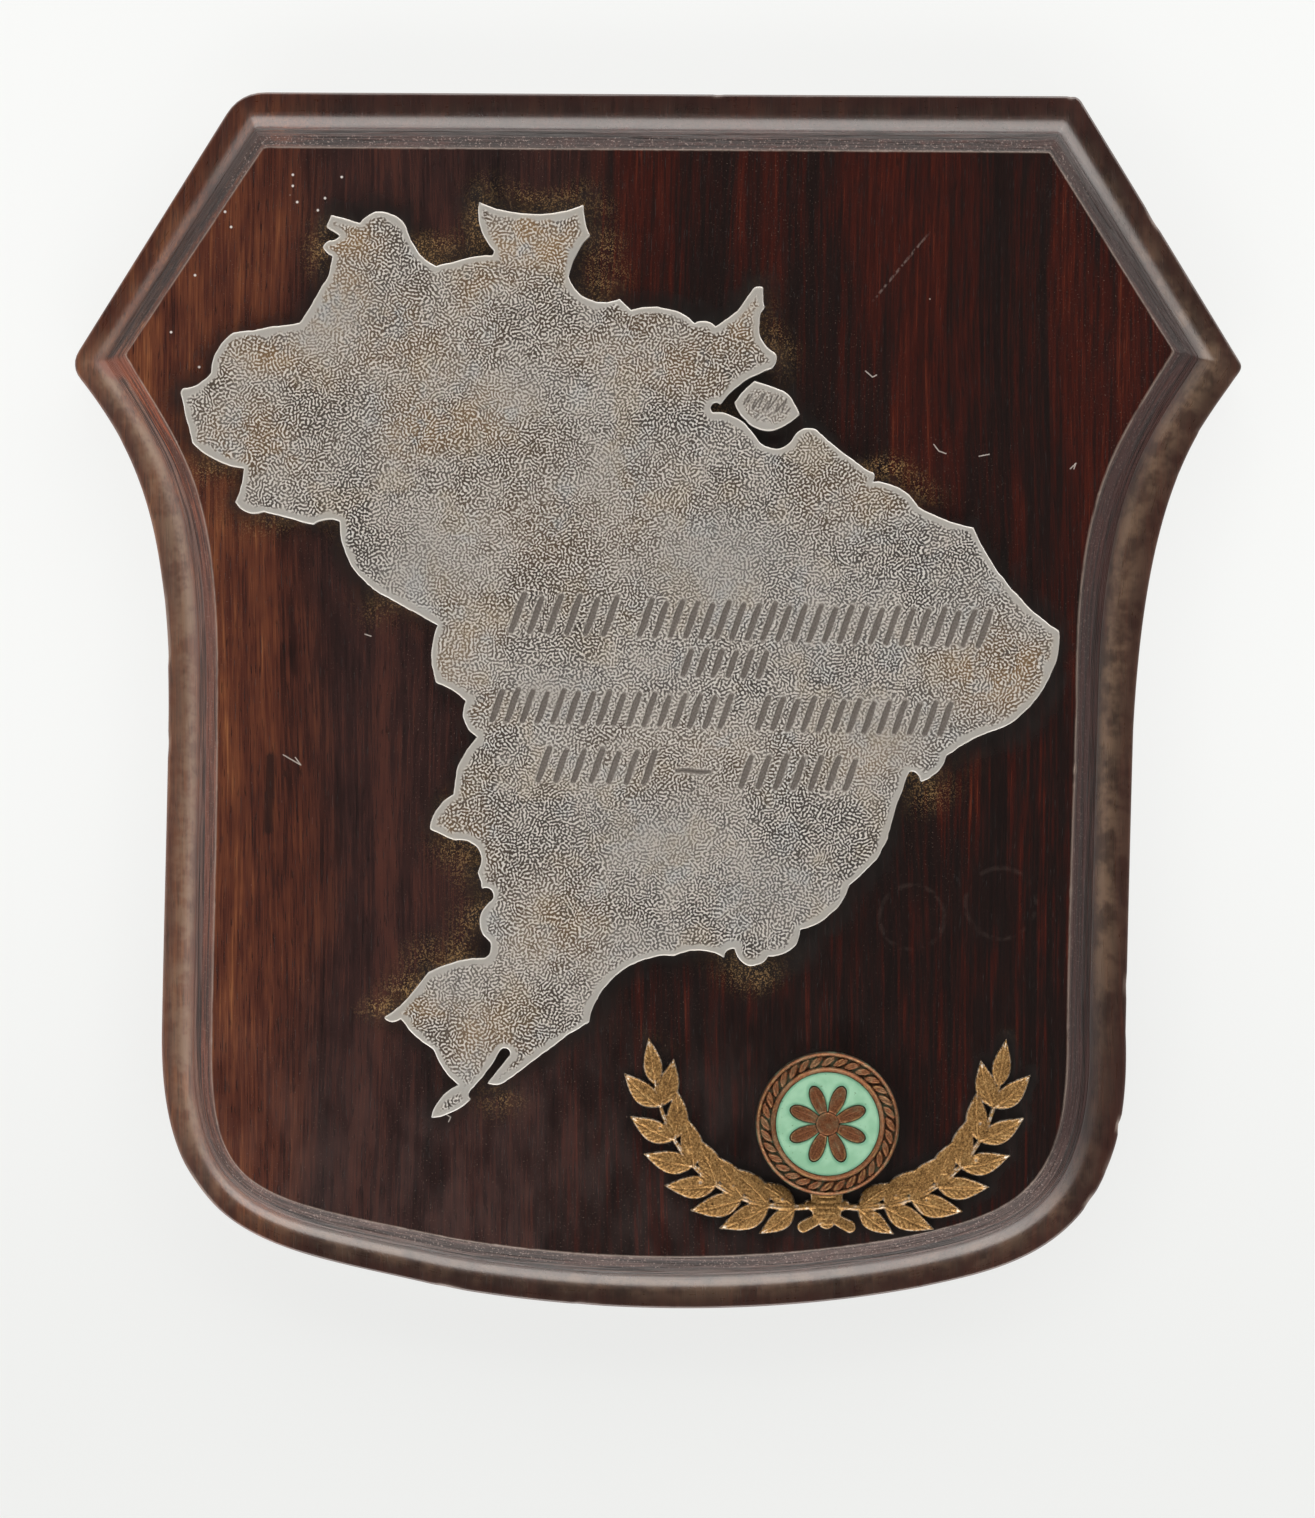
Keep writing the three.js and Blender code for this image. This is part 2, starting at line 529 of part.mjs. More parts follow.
function medallion() {
  // turned profile: flat back, rounded rim, recessed ground
  const profile = [[0, 0], [MEDAL_R - 0.4, 0], [MEDAL_R, 0.4], [MEDAL_R, MEDAL_T - 0.9], [MEDAL_R - 0.35, MEDAL_T - 0.25],
    [MEDAL_R - 1.1, MEDAL_T], [MEDAL_R - 2.6, MEDAL_T], [MEDAL_R - 3.3, MEDAL_T - 0.3],
    [MEDAL_RECESS_R, MEDAL_T - 0.45], [MEDAL_RECESS_R, MEDAL_T - MEDAL_RECESS_D], [0, MEDAL_T - MEDAL_RECESS_D]];
  const g = new THREE.LatheGeometry(profile.map(([r, y]) => new THREE.Vector2(r, y)), 40);
  g.rotateX(Math.PI);                         // the lathe axis runs to the front, -Y
  g.translate(SPRAY_C[0], -MEDAL_Y, SPRAY_C[1]);
  return fromManifold(toManifold(g).add(rosette(0, GROUND_Y - 0.3, MEDAL_Y + MEDAL_T - 0.2)));
}

function enamel() {
  const slab = disc(MEDAL_RECESS_R - GAP, GROUND_Y, MEDAL_Y + MEDAL_T - 0.4, 48);
  return fromManifold(slab.subtract(rosette(GAP, GROUND_Y - 1, MEDAL_Y + MEDAL_T + 1)));
}

// -------------------------------------------------------------------- model

const finish = (color, roughness, metalness) => new THREE.MeshStandardMaterial({ color, roughness, metalness });
const mahogany = finish(0x3a1c18, 0.4, 0);
const etchedMetal = finish(0xaaa7a2, 0.45, 0.9);
const giltMetal = finish(0x96703a, 0.5, 0.8);
const copper = finish(0x82502f, 0.5, 0.8);
const mint = finish(0x8cdcb4, 0.2, 0);

const plaque = new THREE.Group();
for (const [name, geometry, material] of [
  ['shield_board', shieldBoard(), mahogany],
  ['map_plate', mapPlate(), etchedMetal],
  ['island_plate', islandPlate(), etchedMetal],
  ['laurel_spray', laurelSpray(), giltMetal],
  ['medallion', medallion(), copper],
  ['medallion_enamel', enamel(), mint],
]) {
  const mesh = new THREE.Mesh(geometry, material);
  mesh.name = name;
  plaque.add(mesh);
}

export default plaque;
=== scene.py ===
"""Looks of a commemorative wall plaque: a routed mahogany shield, an etched metal
plate in the outline of a country with a small island plate, and a gilt laurel
spray with an enamelled medallion. Lengths in this file are millimetres, with h the
height in front of the board's panel; meshes are written in metres."""

import math

import bpy
import numpy as np
from mathutils import Matrix, Vector
from mathutils.geometry import delaunay_2d_cdt
from mathutils.kdtree import KDTree


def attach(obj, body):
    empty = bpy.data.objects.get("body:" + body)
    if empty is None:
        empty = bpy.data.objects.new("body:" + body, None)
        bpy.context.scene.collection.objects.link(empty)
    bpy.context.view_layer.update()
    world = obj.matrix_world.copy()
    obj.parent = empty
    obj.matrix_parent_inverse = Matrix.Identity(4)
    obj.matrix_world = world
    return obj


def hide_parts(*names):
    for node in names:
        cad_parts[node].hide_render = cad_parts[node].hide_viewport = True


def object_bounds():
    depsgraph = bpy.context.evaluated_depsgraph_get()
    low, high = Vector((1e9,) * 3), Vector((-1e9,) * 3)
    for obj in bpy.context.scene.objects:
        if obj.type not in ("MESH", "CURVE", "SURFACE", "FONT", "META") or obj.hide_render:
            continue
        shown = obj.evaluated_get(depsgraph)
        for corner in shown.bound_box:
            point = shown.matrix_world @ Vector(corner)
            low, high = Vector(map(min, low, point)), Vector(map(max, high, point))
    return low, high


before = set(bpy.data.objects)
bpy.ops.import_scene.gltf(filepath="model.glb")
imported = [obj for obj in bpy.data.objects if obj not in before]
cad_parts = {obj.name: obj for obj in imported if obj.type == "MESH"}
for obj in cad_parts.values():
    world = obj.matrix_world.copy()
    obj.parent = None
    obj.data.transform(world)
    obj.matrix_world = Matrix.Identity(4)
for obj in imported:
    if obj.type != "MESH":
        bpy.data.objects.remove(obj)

CAD_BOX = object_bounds()
MM = 0.001
BOARD_T = 19.0
RIM_Y = 11.5
PLATE_T = 2.0
SPRAY_T = 1.6
SPRAY_C = (33.6, -83.6)
MEDAL_R = 14.2
MEDAL_T = 2.6
RECESS_R = 10.3
PETALS = 8


# ------------------------------------------------------------------ numbers

def lerp(a, b, t):
    return a + (b - a) * t


def smooth(lo, hi, v):
    t = np.clip((np.asarray(v, float) - lo) / (hi - lo), 0, 1)
    return t * t * (3 - 2 * t)


def field(x, z, cell, seed, octaves=1):
    """Smooth noise, about -1..1, with features about cell mm wide."""
    total, amp, norm = 0.0, 1.0, 0.0
    for o in range(octaves):
        table = np.random.default_rng(seed + 101 * o).uniform(-1, 1, (256, 256))
        gx = np.asarray(x, float) / cell * 2 ** o + 911.7
        gz = np.asarray(z, float) / cell * 2 ** o + 533.3
        ix, iz = np.floor(gx).astype(int), np.floor(gz).astype(int)
        fx, fz = gx - ix, gz - iz
        fx, fz = fx * fx * (3 - 2 * fx), fz * fz * (3 - 2 * fz)
        a, b = table[ix % 256, iz % 256], table[(ix + 1) % 256, iz % 256]
        c, d = table[ix % 256, (iz + 1) % 256], table[(ix + 1) % 256, (iz + 1) % 256]
        total = total + amp * lerp(lerp(a, b, fx), lerp(c, d, fx), fz)
        norm += amp
        amp *= 0.5
    return total / norm


def bezier(p0, p1, p2, p3, t):
    t = np.asarray(t, float)[..., None]
    s = 1 - t
    p0, p1, p2, p3 = (np.array(p, float) for p in (p0, p1, p2, p3))
    return s ** 3 * p0 + 3 * s * s * t * p1 + 3 * s * t * t * p2 + t ** 3 * p3


# ------------------------------------------------------------ planar geometry

def cdt(points, segments):
    out = delaunay_2d_cdt([Vector((float(p[0]), float(p[1]))) for p in points],
                          [(int(a), int(b)) for a, b in segments], [], 0, 1e-7)
    co = np.array([(v[0], v[1]) for v in out[0]])
    tris = np.array([f for f in out[2] if len(f) == 3], int)
    if len(co) != len(points):
        raise RuntimeError(f"triangulation gave {len(co)} points for {len(points)}")
    a, b, c = co[tris[:, 0]], co[tris[:, 1]], co[tris[:, 2]]
    area = (b[:, 0] - a[:, 0]) * (c[:, 1] - a[:, 1]) - (b[:, 1] - a[:, 1]) * (c[:, 0] - a[:, 0])
    tris[area < 0] = tris[area < 0][:, ::-1]
    return co, tris[np.abs(area) > 1e-9]


def odd_even(points, starts, ends):
    """Whether each point lies inside the closed loops made of these segments."""
    inside = np.zeros(len(points), bool)
    for k in range(0, len(points), 2000):
        x, z = points[k:k + 2000, 0][:, None], points[k:k + 2000, 1][:, None]
        hit = (starts[:, 1][None] > z) != (ends[:, 1][None] > z)
        dz = ends[:, 1] - starts[:, 1]
        dz = np.where(np.abs(dz) < 1e-12, 1e-12, dz)
        xc = starts[:, 0] + (z - starts[:, 1]) / dz * (ends[:, 0] - starts[:, 0])
        inside[k:k + 2000] = ((xc > x) & hit).sum(1) % 2 == 1
    return inside


def inside_grid(xs, zs, ring):
    a, b = ring, np.roll(ring, -1, axis=0)
    inside = np.zeros((len(xs), len(zs)), bool)
    for j, z in enumerate(zs):
        hit = (a[:, 1] > z) != (b[:, 1] > z)
        if hit.any():
            xc = a[hit, 0] + (z - a[hit, 1]) / (b[hit, 1] - a[hit, 1]) * (b[hit, 0] - a[hit, 0])
            inside[:, j] = (xs[:, None] > xc[None, :]).sum(1) % 2 == 1
    return inside


def ring_distance(points, ring):
    """Distance of each point from a closed polyline."""
    ring = np.asarray(ring, float)
    kd = KDTree(len(ring))
    for i, p in enumerate(ring):
        kd.insert((p[0], p[1], 0.0), i)
    kd.balance()
    find = kd.find
    idx = np.fromiter((find((p[0], p[1], 0.0))[1] for p in points), int, len(points))
    best = np.full(len(points), 1e9)
    n = len(ring)
    for a, b in ((idx - 1) % n, idx), (idx, (idx + 1) % n):
        p, d = ring[a], ring[b] - ring[a]
        t = np.clip(((points - p) * d).sum(1) / np.maximum((d * d).sum(1), 1e-12), 0, 1)
        best = np.minimum(best, np.hypot(*(points - p - d * t[:, None]).T))
    return best


def contour(F, xs, zs, level):
    """Points and segments along which the grid F crosses level."""
    G = F - level
    low = G < 0
    cx, cz = low[:-1, :] != low[1:, :], low[:, :-1] != low[:, 1:]
    ix = np.full(cx.shape, -1)
    ix[cx] = np.arange(cx.sum())
    iz = np.full(cz.shape, -1)
    iz[cz] = np.arange(cz.sum()) + cx.sum()
    i, j = np.nonzero(cx)
    t = np.clip(G[i, j] / (G[i, j] - G[i + 1, j]), 0.06, 0.94)
    pa = np.stack([lerp(xs[i], xs[i + 1], t), zs[j]], 1)
    i, j = np.nonzero(cz)
    t = np.clip(G[i, j] / (G[i, j] - G[i, j + 1]), 0.06, 0.94)
    pb = np.stack([xs[i], lerp(zs[j], zs[j + 1], t)], 1)
    edges = np.stack([ix[:, :-1], iz[1:, :], ix[:, 1:], iz[:-1, :]])    # foot, right, top, left
    count = (edges >= 0).sum(0)
    two = np.sort(edges[:, count == 2], axis=0)[-2:].T
    four = edges[:, count == 4].T
    segs = [two, four[:, [0, 1]], four[:, [2, 3]]]
    return np.vstack([pa, pb]), np.vstack(segs)


def sample(F, xs, zs, x, z):
    u = np.clip((np.asarray(x) - xs[0]) / (xs[1] - xs[0]), 0, len(xs) - 1.001)
    v = np.clip((np.asarray(z) - zs[0]) / (zs[1] - zs[0]), 0, len(zs) - 1.001)
    i, j = u.astype(int), v.astype(int)
    u, v = u - i, v - j
    return lerp(lerp(F[i, j], F[i + 1, j], u), lerp(F[i, j + 1], F[i + 1, j + 1], u), v)


def stroke_distance(x, z, pts, radii):
    """Distance from a polyline of varying half width: below 0 inside it."""
    best = np.full(np.shape(x), 1e9)
    for k in range(len(pts) - 1):
        a, b = pts[k], pts[k + 1]
        d = b - a
        t = np.clip(((x - a[0]) * d[0] + (z - a[1]) * d[1]) / (d @ d), 0, 1)
        best = np.minimum(best, np.hypot(x - a[0] - t * d[0], z - a[1] - t * d[1]) - lerp(radii[k], radii[k + 1], t))
    return best


def axis(lo, hi, step):
    return np.arange(math.floor(lo / step) * step, hi + step, step)


def bowed(p):
    """The plane squeezed more the farther out, so that points in line stand convex."""
    return p * (1 - 6.5e-6 * (p ** 2).sum(1))[:, None]


def hexes(lo, hi, step, seed, jitter=0.12):
    """Points of a slightly uneven triangular grid over a box."""
    rows = []
    for k, z in enumerate(np.arange(lo[1], hi[1], step * 0.866)):
        xs = np.arange(lo[0] + (k % 2) * step / 2, hi[0], step)
        rows.append(np.stack([xs, np.full(len(xs), z)], 1))
    p = np.vstack(rows)
    return p + np.random.default_rng(seed).uniform(-jitter, jitter, p.shape) * step


def blur(a, times=1):
    for _ in range(times):
        p = np.pad(a, 1, mode="edge")
        a = (p[1:-1, 1:-1] * 4 + (p[:-2, 1:-1] + p[2:, 1:-1] + p[1:-1, :-2] + p[1:-1, 2:]) * 2
             + p[:-2, :-2] + p[2:, 2:] + p[:-2, 2:] + p[2:, :-2]) / 16
    return a


# ---------------------------------------------------------------- mesh objects

def make(name, co, tris, attributes, material, sharp=35.0):
    me = bpy.data.meshes.new(name)
    me.from_pydata((np.asarray(co) * MM).tolist(), [], np.asarray(tris).tolist())
    me.shade_smooth()
    me.set_sharp_from_angle(angle=math.radians(sharp))
    for key, values in attributes.items():
        a = me.attributes.new(key, "FLOAT", "POINT")
        a.data.foreach_set("value", np.asarray(values, np.float32))
    me.materials.append(material)
    me.validate()
    ob = bpy.data.objects.new(name, me)
    bpy.context.scene.collection.objects.link(ob)
    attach(ob, "root")
    return ob


def relief(name, F, xs, zs, levels, lines, grid, height, base, attributes, material, clear=0.0, sharp=35.0):
    """A closed solid with the outline F = 0, a flat back at base in front of the
    board's panel, and a front at height(x, z). levels are further contours of F
    that get points, lines are more (points, segments), and grid the loose points."""
    p0, s0 = contour(F, xs, zs, 0.0)
    pts, segs, count = [p0], [s0], len(p0)
    for p, s in [contour(F, xs, zs, v) for v in levels] + list(lines):
        pts.append(p)
        segs.append(s + count)
        count += len(p)
    keep = sample(F, xs, zs, grid[:, 0], grid[:, 1]) < (min(levels) if levels else 0) - clear
    pts.append(grid[keep])
    pts = np.vstack(pts)
    pts, tris = cdt(pts, np.vstack(segs))
    n0 = len(p0)
    f = sample(F, xs, zs, pts[:, 0], pts[:, 1])
    f[:n0] = 0
    inner = (f[tris] < -1e-4).any(1)
    rim = (tris < n0).all(1)
    mid = pts[tris[rim]].mean(1)
    inner[rim] = odd_even(mid, p0[s0[:, 0]], p0[s0[:, 1]])
    tris = tris[inner]
    used = np.unique(tris)
    remap = np.full(len(pts), -1)
    remap[used] = np.arange(len(used))
    tris, pts = remap[tris], pts[used]
    edge = np.vstack([tris[:, [0, 1]], tris[:, [1, 2]], tris[:, [2, 0]]])
    both = {}
    for a, b in edge.tolist():
        both[(a, b)] = True
    open_edges = np.array([e for e in both if (e[1], e[0]) not in both])
    loop = np.unique(open_edges)
    back_of = np.full(len(pts), -1)
    back_of[loop] = np.arange(len(loop)) + len(pts)
    small = np.full(len(pts), -1)
    small[loop] = np.arange(len(loop))
    _, back = cdt(pts[loop], small[open_edges])
    a, b = pts[open_edges[:, 0]], pts[open_edges[:, 1]]
    back = back[odd_even(pts[loop][back].mean(1), a, b)]
    walls = np.vstack([
        np.stack([open_edges[:, 0], back_of[open_edges[:, 0]], back_of[open_edges[:, 1]]], 1),
        np.stack([open_edges[:, 0], back_of[open_edges[:, 1]], open_edges[:, 1]], 1)])
    h = height(pts[:, 0], pts[:, 1])
    co = np.vstack([np.stack([pts[:, 0], -(BOARD_T + base + h), pts[:, 1]], 1),
                    np.stack([pts[loop, 0], np.full(len(loop), -(BOARD_T + base)), pts[loop, 1]], 1)])
    faces = np.vstack([tris, walls, back[:, ::-1] + len(pts)])
    values = {}
    for key, fn in attributes.items():
        v = fn(pts[:, 0], pts[:, 1])
        values[key] = np.concatenate([v, v[loop]])
    print(name, "triangles", len(faces))
    return make(name, co, faces, values, material, sharp)


# --------------------------------------------------------------- node graphs

class Graph:
    def __init__(self, name):
        self.mat = bpy.data.materials.new(name)
        self.mat.use_nodes = True
        self.tree = self.mat.node_tree
        self.tree.nodes.clear()
        self.out = self.node("ShaderNodeOutputMaterial")
        self.bsdf = self.node("ShaderNodeBsdfPrincipled")
        self.tree.links.new(self.bsdf.outputs[0], self.out.inputs["Surface"])
        coords = self.node("ShaderNodeTexCoord")
        self.mm = self.place(coords.outputs["Object"], (1000, 1000, 1000))
        parts = self.node("ShaderNodeSeparateXYZ")
        self.put(parts.inputs[0], self.mm)
        self.x, self.y, self.z = parts.outputs
        self.flat = self.join(self.x, 0.0, self.z)

    def node(self, kind, **props):
        n = self.tree.nodes.new(kind)
        for k, v in props.items():
            setattr(n, k, v)
        return n

    def put(self, socket, value):
        if isinstance(value, bpy.types.NodeSocket):
            self.tree.links.new(value, socket)
        elif isinstance(value, tuple) and len(value) == 3 and socket.type == "RGBA":
            socket.default_value = (*value, 1.0)
        else:
            socket.default_value = value

    def math(self, op, a, b=None, c=None, clamp=False):
        n = self.node("ShaderNodeMath", operation=op, use_clamp=clamp)
        for s, v in zip(n.inputs, (a, b, c)):
            if v is not None:
                self.put(s, v)
        return n.outputs[0]

    def add(self, a, b):
        return self.math("ADD", a, b)

    def sub(self, a, b):
        return self.math("SUBTRACT", a, b)

    def mul(self, *v):
        out = v[0]
        for b in v[1:]:
            out = self.math("MULTIPLY", out, b)
        return out

    def span(self, v, a, b, lo=0.0, hi=1.0):
        n = self.node("ShaderNodeMapRange", interpolation_type="SMOOTHSTEP")
        for s, x in zip(n.inputs, (v, a, b, lo, hi)):
            self.put(s, x)
        return n.outputs[0]

    def mix(self, fac, a, b, blend="MIX"):
        n = self.node("ShaderNodeMix", data_type="RGBA", blend_type=blend)
        n.clamp_factor = True
        self.put(n.inputs[0], fac)
        self.put(n.inputs[6], a)
        self.put(n.inputs[7], b)
        return n.outputs[2]

    def place(self, vec, scale, shift=(0, 0, 0)):
        n = self.node("ShaderNodeMapping")
        self.put(n.inputs["Vector"], vec)
        n.inputs["Location"].default_value = shift
        n.inputs["Scale"].default_value = scale
        return n.outputs[0]

    def join(self, x, y, z):
        n = self.node("ShaderNodeCombineXYZ")
        for s, v in zip(n.inputs, (x, y, z)):
            self.put(s, v)
        return n.outputs[0]

    def vadd(self, a, b, scale=1.0):
        m = self.node("ShaderNodeVectorMath", operation="MULTIPLY_ADD")
        self.put(m.inputs[0], b)
        m.inputs[1].default_value = (scale,) * 3
        self.put(m.inputs[2], a)
        return m.outputs[0]

    def noise(self, vec, scale=1.0, detail=0.0, rough=0.5, color=False):
        n = self.node("ShaderNodeTexNoise")
        self.put(n.inputs["Vector"], vec)
        n.inputs["Scale"].default_value = scale
        n.inputs["Detail"].default_value = detail
        n.inputs["Roughness"].default_value = rough
        return n.outputs["Color" if color else 0]

    def cells(self, vec, scale, feature="F1"):
        n = self.node("ShaderNodeTexVoronoi", feature=feature)
        self.put(n.inputs["Vector"], vec)
        n.inputs["Scale"].default_value = scale
        return n.outputs["Distance"], n.outputs["Color"]

    def worms(self, x, z, period):
        """Even, winding, worm-like marks about period mm apart, 0..1 round 0.5."""
        n = self.node("ShaderNodeTexGabor", gabor_type="2D")
        self.put(n.inputs["Vector"], self.join(x, z, 0.0))
        n.inputs["Scale"].default_value = 1 / (2.35 * period)
        n.inputs["Frequency"].default_value = 2.35
        n.inputs["Anisotropy"].default_value = 0.0
        return n.outputs["Value"]

    def gap(self, x, z):
        """Distance in the plane of the front from the point x, z."""
        n = self.node("ShaderNodeVectorMath", operation="DISTANCE")
        self.put(n.inputs[0], self.flat)
        n.inputs[1].default_value = (x, 0.0, z)
        return n.outputs["Value"]

    def nearest(self, points):
        out = None
        for x, z in points:
            d = self.gap(x, z)
            out = d if out is None else self.math("MINIMUM", out, d)
        return out

    def thread(self, a, b):
        """Distance in the plane of the front from the segment a, b."""
        dx, dz = b[0] - a[0], b[1] - a[1]
        off = self.node("ShaderNodeVectorMath", operation="SUBTRACT")
        self.put(off.inputs[0], self.flat)
        off.inputs[1].default_value = (a[0], 0.0, a[1])
        dot = self.node("ShaderNodeVectorMath", operation="DOT_PRODUCT")
        self.put(dot.inputs[0], off.outputs[0])
        dot.inputs[1].default_value = (dx, 0.0, dz)
        t = self.math("MULTIPLY", dot.outputs["Value"], 1 / (dx * dx + dz * dz), clamp=True)
        out = self.node("ShaderNodeVectorMath", operation="SCALE")
        out.inputs[0].default_value = (dx, 0.0, dz)
        self.put(out.inputs["Scale"], t)
        d = self.node("ShaderNodeVectorMath", operation="DISTANCE")
        self.put(d.inputs[0], off.outputs[0])
        self.put(d.inputs[1], out.outputs[0])
        return d.outputs["Value"]

    def threads(self, path):
        out = None
        for a, b in zip(path, path[1:]):
            d = self.thread(a, b)
            out = d if out is None else self.math("MINIMUM", out, d)
        return out

    def attr(self, name):
        return self.node("ShaderNodeAttribute", attribute_name=name).outputs["Fac"]

    def ramp(self, v, stops):
        n = self.node("ShaderNodeValToRGB")
        e = n.color_ramp.elements
        while len(e) < len(stops):
            e.new(0.5)
        for el, (p, c) in zip(e, stops):
            el.position = p
            el.color = (*c, 1.0)
        self.put(n.inputs[0], v)
        return n.outputs[0]

    def bump(self, height, distance, normal=None, strength=1.0):
        n = self.node("ShaderNodeBump")
        n.inputs["Strength"].default_value = strength
        n.inputs["Distance"].default_value = distance * MM
        self.put(n.inputs["Height"], height)
        if normal is not None:
            self.put(n.inputs["Normal"], normal)
        return n.outputs[0]

    def finish(self, **sockets):
        for k, v in sockets.items():
            self.put(self.bsdf.inputs[k.replace("_", " ")], v)
        return self.mat


DUST_DOTS = [(-73.1, 103.8), (-73.1, 101.6), (-72.2, 98.4), (-68.1, 96.8), (-66.7, 99.2), (-86.5, 96.4), (-85.3, 93.4),
             (-92.4, 83.8), (-97.1, 72.5), (-91.5, 65.6), (-63.4, 103.4)]
FIBRES = [[(-74.5, -11.2), (-71.0, -13.2), (-72.1, -11.7)], [(40.6, 65.4), (42.0, 64.2), (42.8, 64.6)],
          [(54.2, 50.9), (55.2, 49.6), (56.6, 49.1)], [(63.2, 48.6), (65.2, 49.0)], [(81.3, 46.2), (82.4, 47.3), (82.0, 46.2)],
          [(-41.8, -82.4), (-41.0, -82.9), (-41.4, -83.8)], [(-58.4, 12.8), (-57.2, 12.4)]]


def mahogany():
    g = Graph("mahogany")
    across, halo, residue, worn = (g.attr(k) for k in ("across", "halo", "residue", "worn"))
    panel = g.span(across, 10.85, 11.0)
    mould = g.sub(1.0, panel)
    wander = g.noise(g.place(g.mm, (0.030, 0.030, 0.006)), 1, 1)
    xw = g.add(g.x, g.mul(g.sub(wander, 0.5), 9.0))

    def grain(wide, long, shift, detail=1.0, rough=0.5):
        return g.noise(g.join(g.mul(xw, wide), g.add(g.mul(g.y, wide), shift), g.mul(g.z, long)), 1, detail, rough)

    # growth bands, narrower figure, straight fibre lines and short pores
    bands = grain(0.085, 0.004, 0.0)
    figure = grain(0.55, 0.016, 3.0, 2, 0.6)
    fibre = grain(2.3, 0.075, 5.0, 2, 0.70)
    pores = g.span(grain(2.9, 0.24, 7.0), 0.60, 0.70)
    ribbon = g.span(g.add(grain(0.072, 0.0075, 11.0), g.mul(g.sub(figure, 0.5), 0.16)), 0.44, 0.58)
    patch = g.noise(g.place(g.mm, (0.030, 0.030, 0.012), (3.1, 0, 1.7)), 1, 1)
    drifted = g.add(xw, g.mul(g.sub(patch, 0.5), 20.0))
    # partly painted light: the pale orange wood on the left of the panel, lightened further toward the left edge,
    # stands in part for light from the left
    warm_wood_and_left_light = g.span(drifted, -64.0, -76.0)
    right = g.mul(g.span(drifted, -30.0, -4.0), g.sub(1.0, g.mul(mould, 0.8)))
    wave = g.add(g.mul(g.sub(figure, 0.5), 0.75), g.mul(g.sub(fibre, 0.5), 1.15))
    mottle = g.noise(g.place(g.mm, (0.16, 0.16, 0.07), (6.0, 0, 2.0)), 1, 2, 0.6)
    tone = g.add(g.add(g.mul(wave, 0.85), g.mul(g.sub(bands, 0.5), 0.70)), g.add(g.mul(g.sub(mottle, 0.5), 0.65), 0.515))
    orange_and_left_light = g.ramp(g.add(tone, g.mul(g.span(g.x, -72.0, -92.0), 0.06)),
                    [(0.05, (0.0100, 0.0048, 0.0044)), (0.30, (0.0330, 0.0108, 0.0082)), (0.52, (0.068, 0.0205, 0.0125)),
                     (0.75, (0.120, 0.0390, 0.0185)), (0.97, (0.215, 0.0830, 0.0330))])
    dusk = g.ramp(tone, [(0.12, (0.0085, 0.0055, 0.0055)), (0.50, (0.0265, 0.0122, 0.0112)), (0.90, (0.060, 0.0215, 0.0160))])
    lowly = g.span(g.add(g.z, g.mul(g.sub(patch, 0.5), 40.0)), 48.0, -6.0)
    streak = g.mul(g.span(grain(1.15, 0.030, 17.0, 2, 0.6), 0.46, 0.66), g.span(mottle, 0.30, 0.62, 0.25, 1.0), lowly)
    red = g.add(g.mul(ribbon, g.sub(0.31, g.mul(lowly, 0.18))), g.mul(streak, 0.42))
    crimson = g.ramp(g.add(g.add(red, g.mul(wave, 1.12)), g.sub(0.27, g.mul(lowly, 0.09))),
                     [(0.0, (0.0078, 0.0046, 0.0043)), (0.30, (0.0120, 0.0055, 0.0049)), (0.62, (0.0285, 0.0058, 0.0042)),
                      (0.85, (0.0480, 0.0086, 0.0050)), (1.0, (0.078, 0.018, 0.009))])
    wood = g.mix(right, g.mix(warm_wood_and_left_light, dusk, orange_and_left_light), crimson)
    wood = g.mix(g.mul(pores, 0.55), wood, (0.0050, 0.0032, 0.0030))
    # a short dark gum streak in the pale wood
    gum = g.thread((-77.0, -11.8), (-77.4, -26.0))
    wood = g.mix(g.mul(g.span(gum, 1.5, 0.4), panel, 0.75), wood, (0.0125, 0.0070, 0.0066))
    haze = g.mul(g.span(g.z, -45.0, -95.0), g.span(mottle, 0.30, 0.70), g.span(g.x, 60.0, 30.0), panel)
    wood = g.mix(g.mul(haze, 0.13), wood, (0.120, 0.092, 0.086))
    # moulding: dusty and brown on the flange, most of all on the left, right and bottom; on the lower left the pale
    # dust also carries painted light from the left
    dusty = g.noise(g.place(g.mm, (0.5, 0.5, 0.16)), 1, 3, 0.65)
    left_dust_and_painted_light = g.mul(g.span(g.x, -78.0, -100.0), g.span(g.z, 78.0, 58.0))
    tan_right = g.mul(g.span(g.x, 76.0, 90.0), g.span(g.z, 122.0, 62.0), g.span(g.z, -78.0, -38.0))
    tan_foot = g.span(g.z, -84.0, -104.0)
    flange = g.mul(g.span(g.add(across, g.mul(g.sub(mottle, 0.5), 2.5)), 0.8, 4.2, 0.30, 1.12), g.span(across, 7.2, 5.0))
    outer = g.mul(g.span(across, 3.4, 1.2), mould)
    wood = g.mix(g.mul(outer, 0.35), wood, (0.040, 0.0125, 0.0090))
    dust_and_left_light = g.add(g.add(g.add(0.08, g.mul(g.span(g.math("ABSOLUTE", g.x), 82.0, 92.0), 0.05)), g.mul(left_dust_and_painted_light, 0.52)),
                 g.add(g.mul(tan_right, 0.34), g.mul(tan_foot, 0.24)))
    blotch = g.span(g.noise(g.place(g.mm, (0.21, 0.21, 0.21), (0, 0, 6.0)), 1, 3, 0.65), 0.36, 0.64, 0.35, 1.15)
    wood = g.mix(g.mul(dust_and_left_light, flange, blotch, mould), wood, (0.215, 0.140, 0.092))
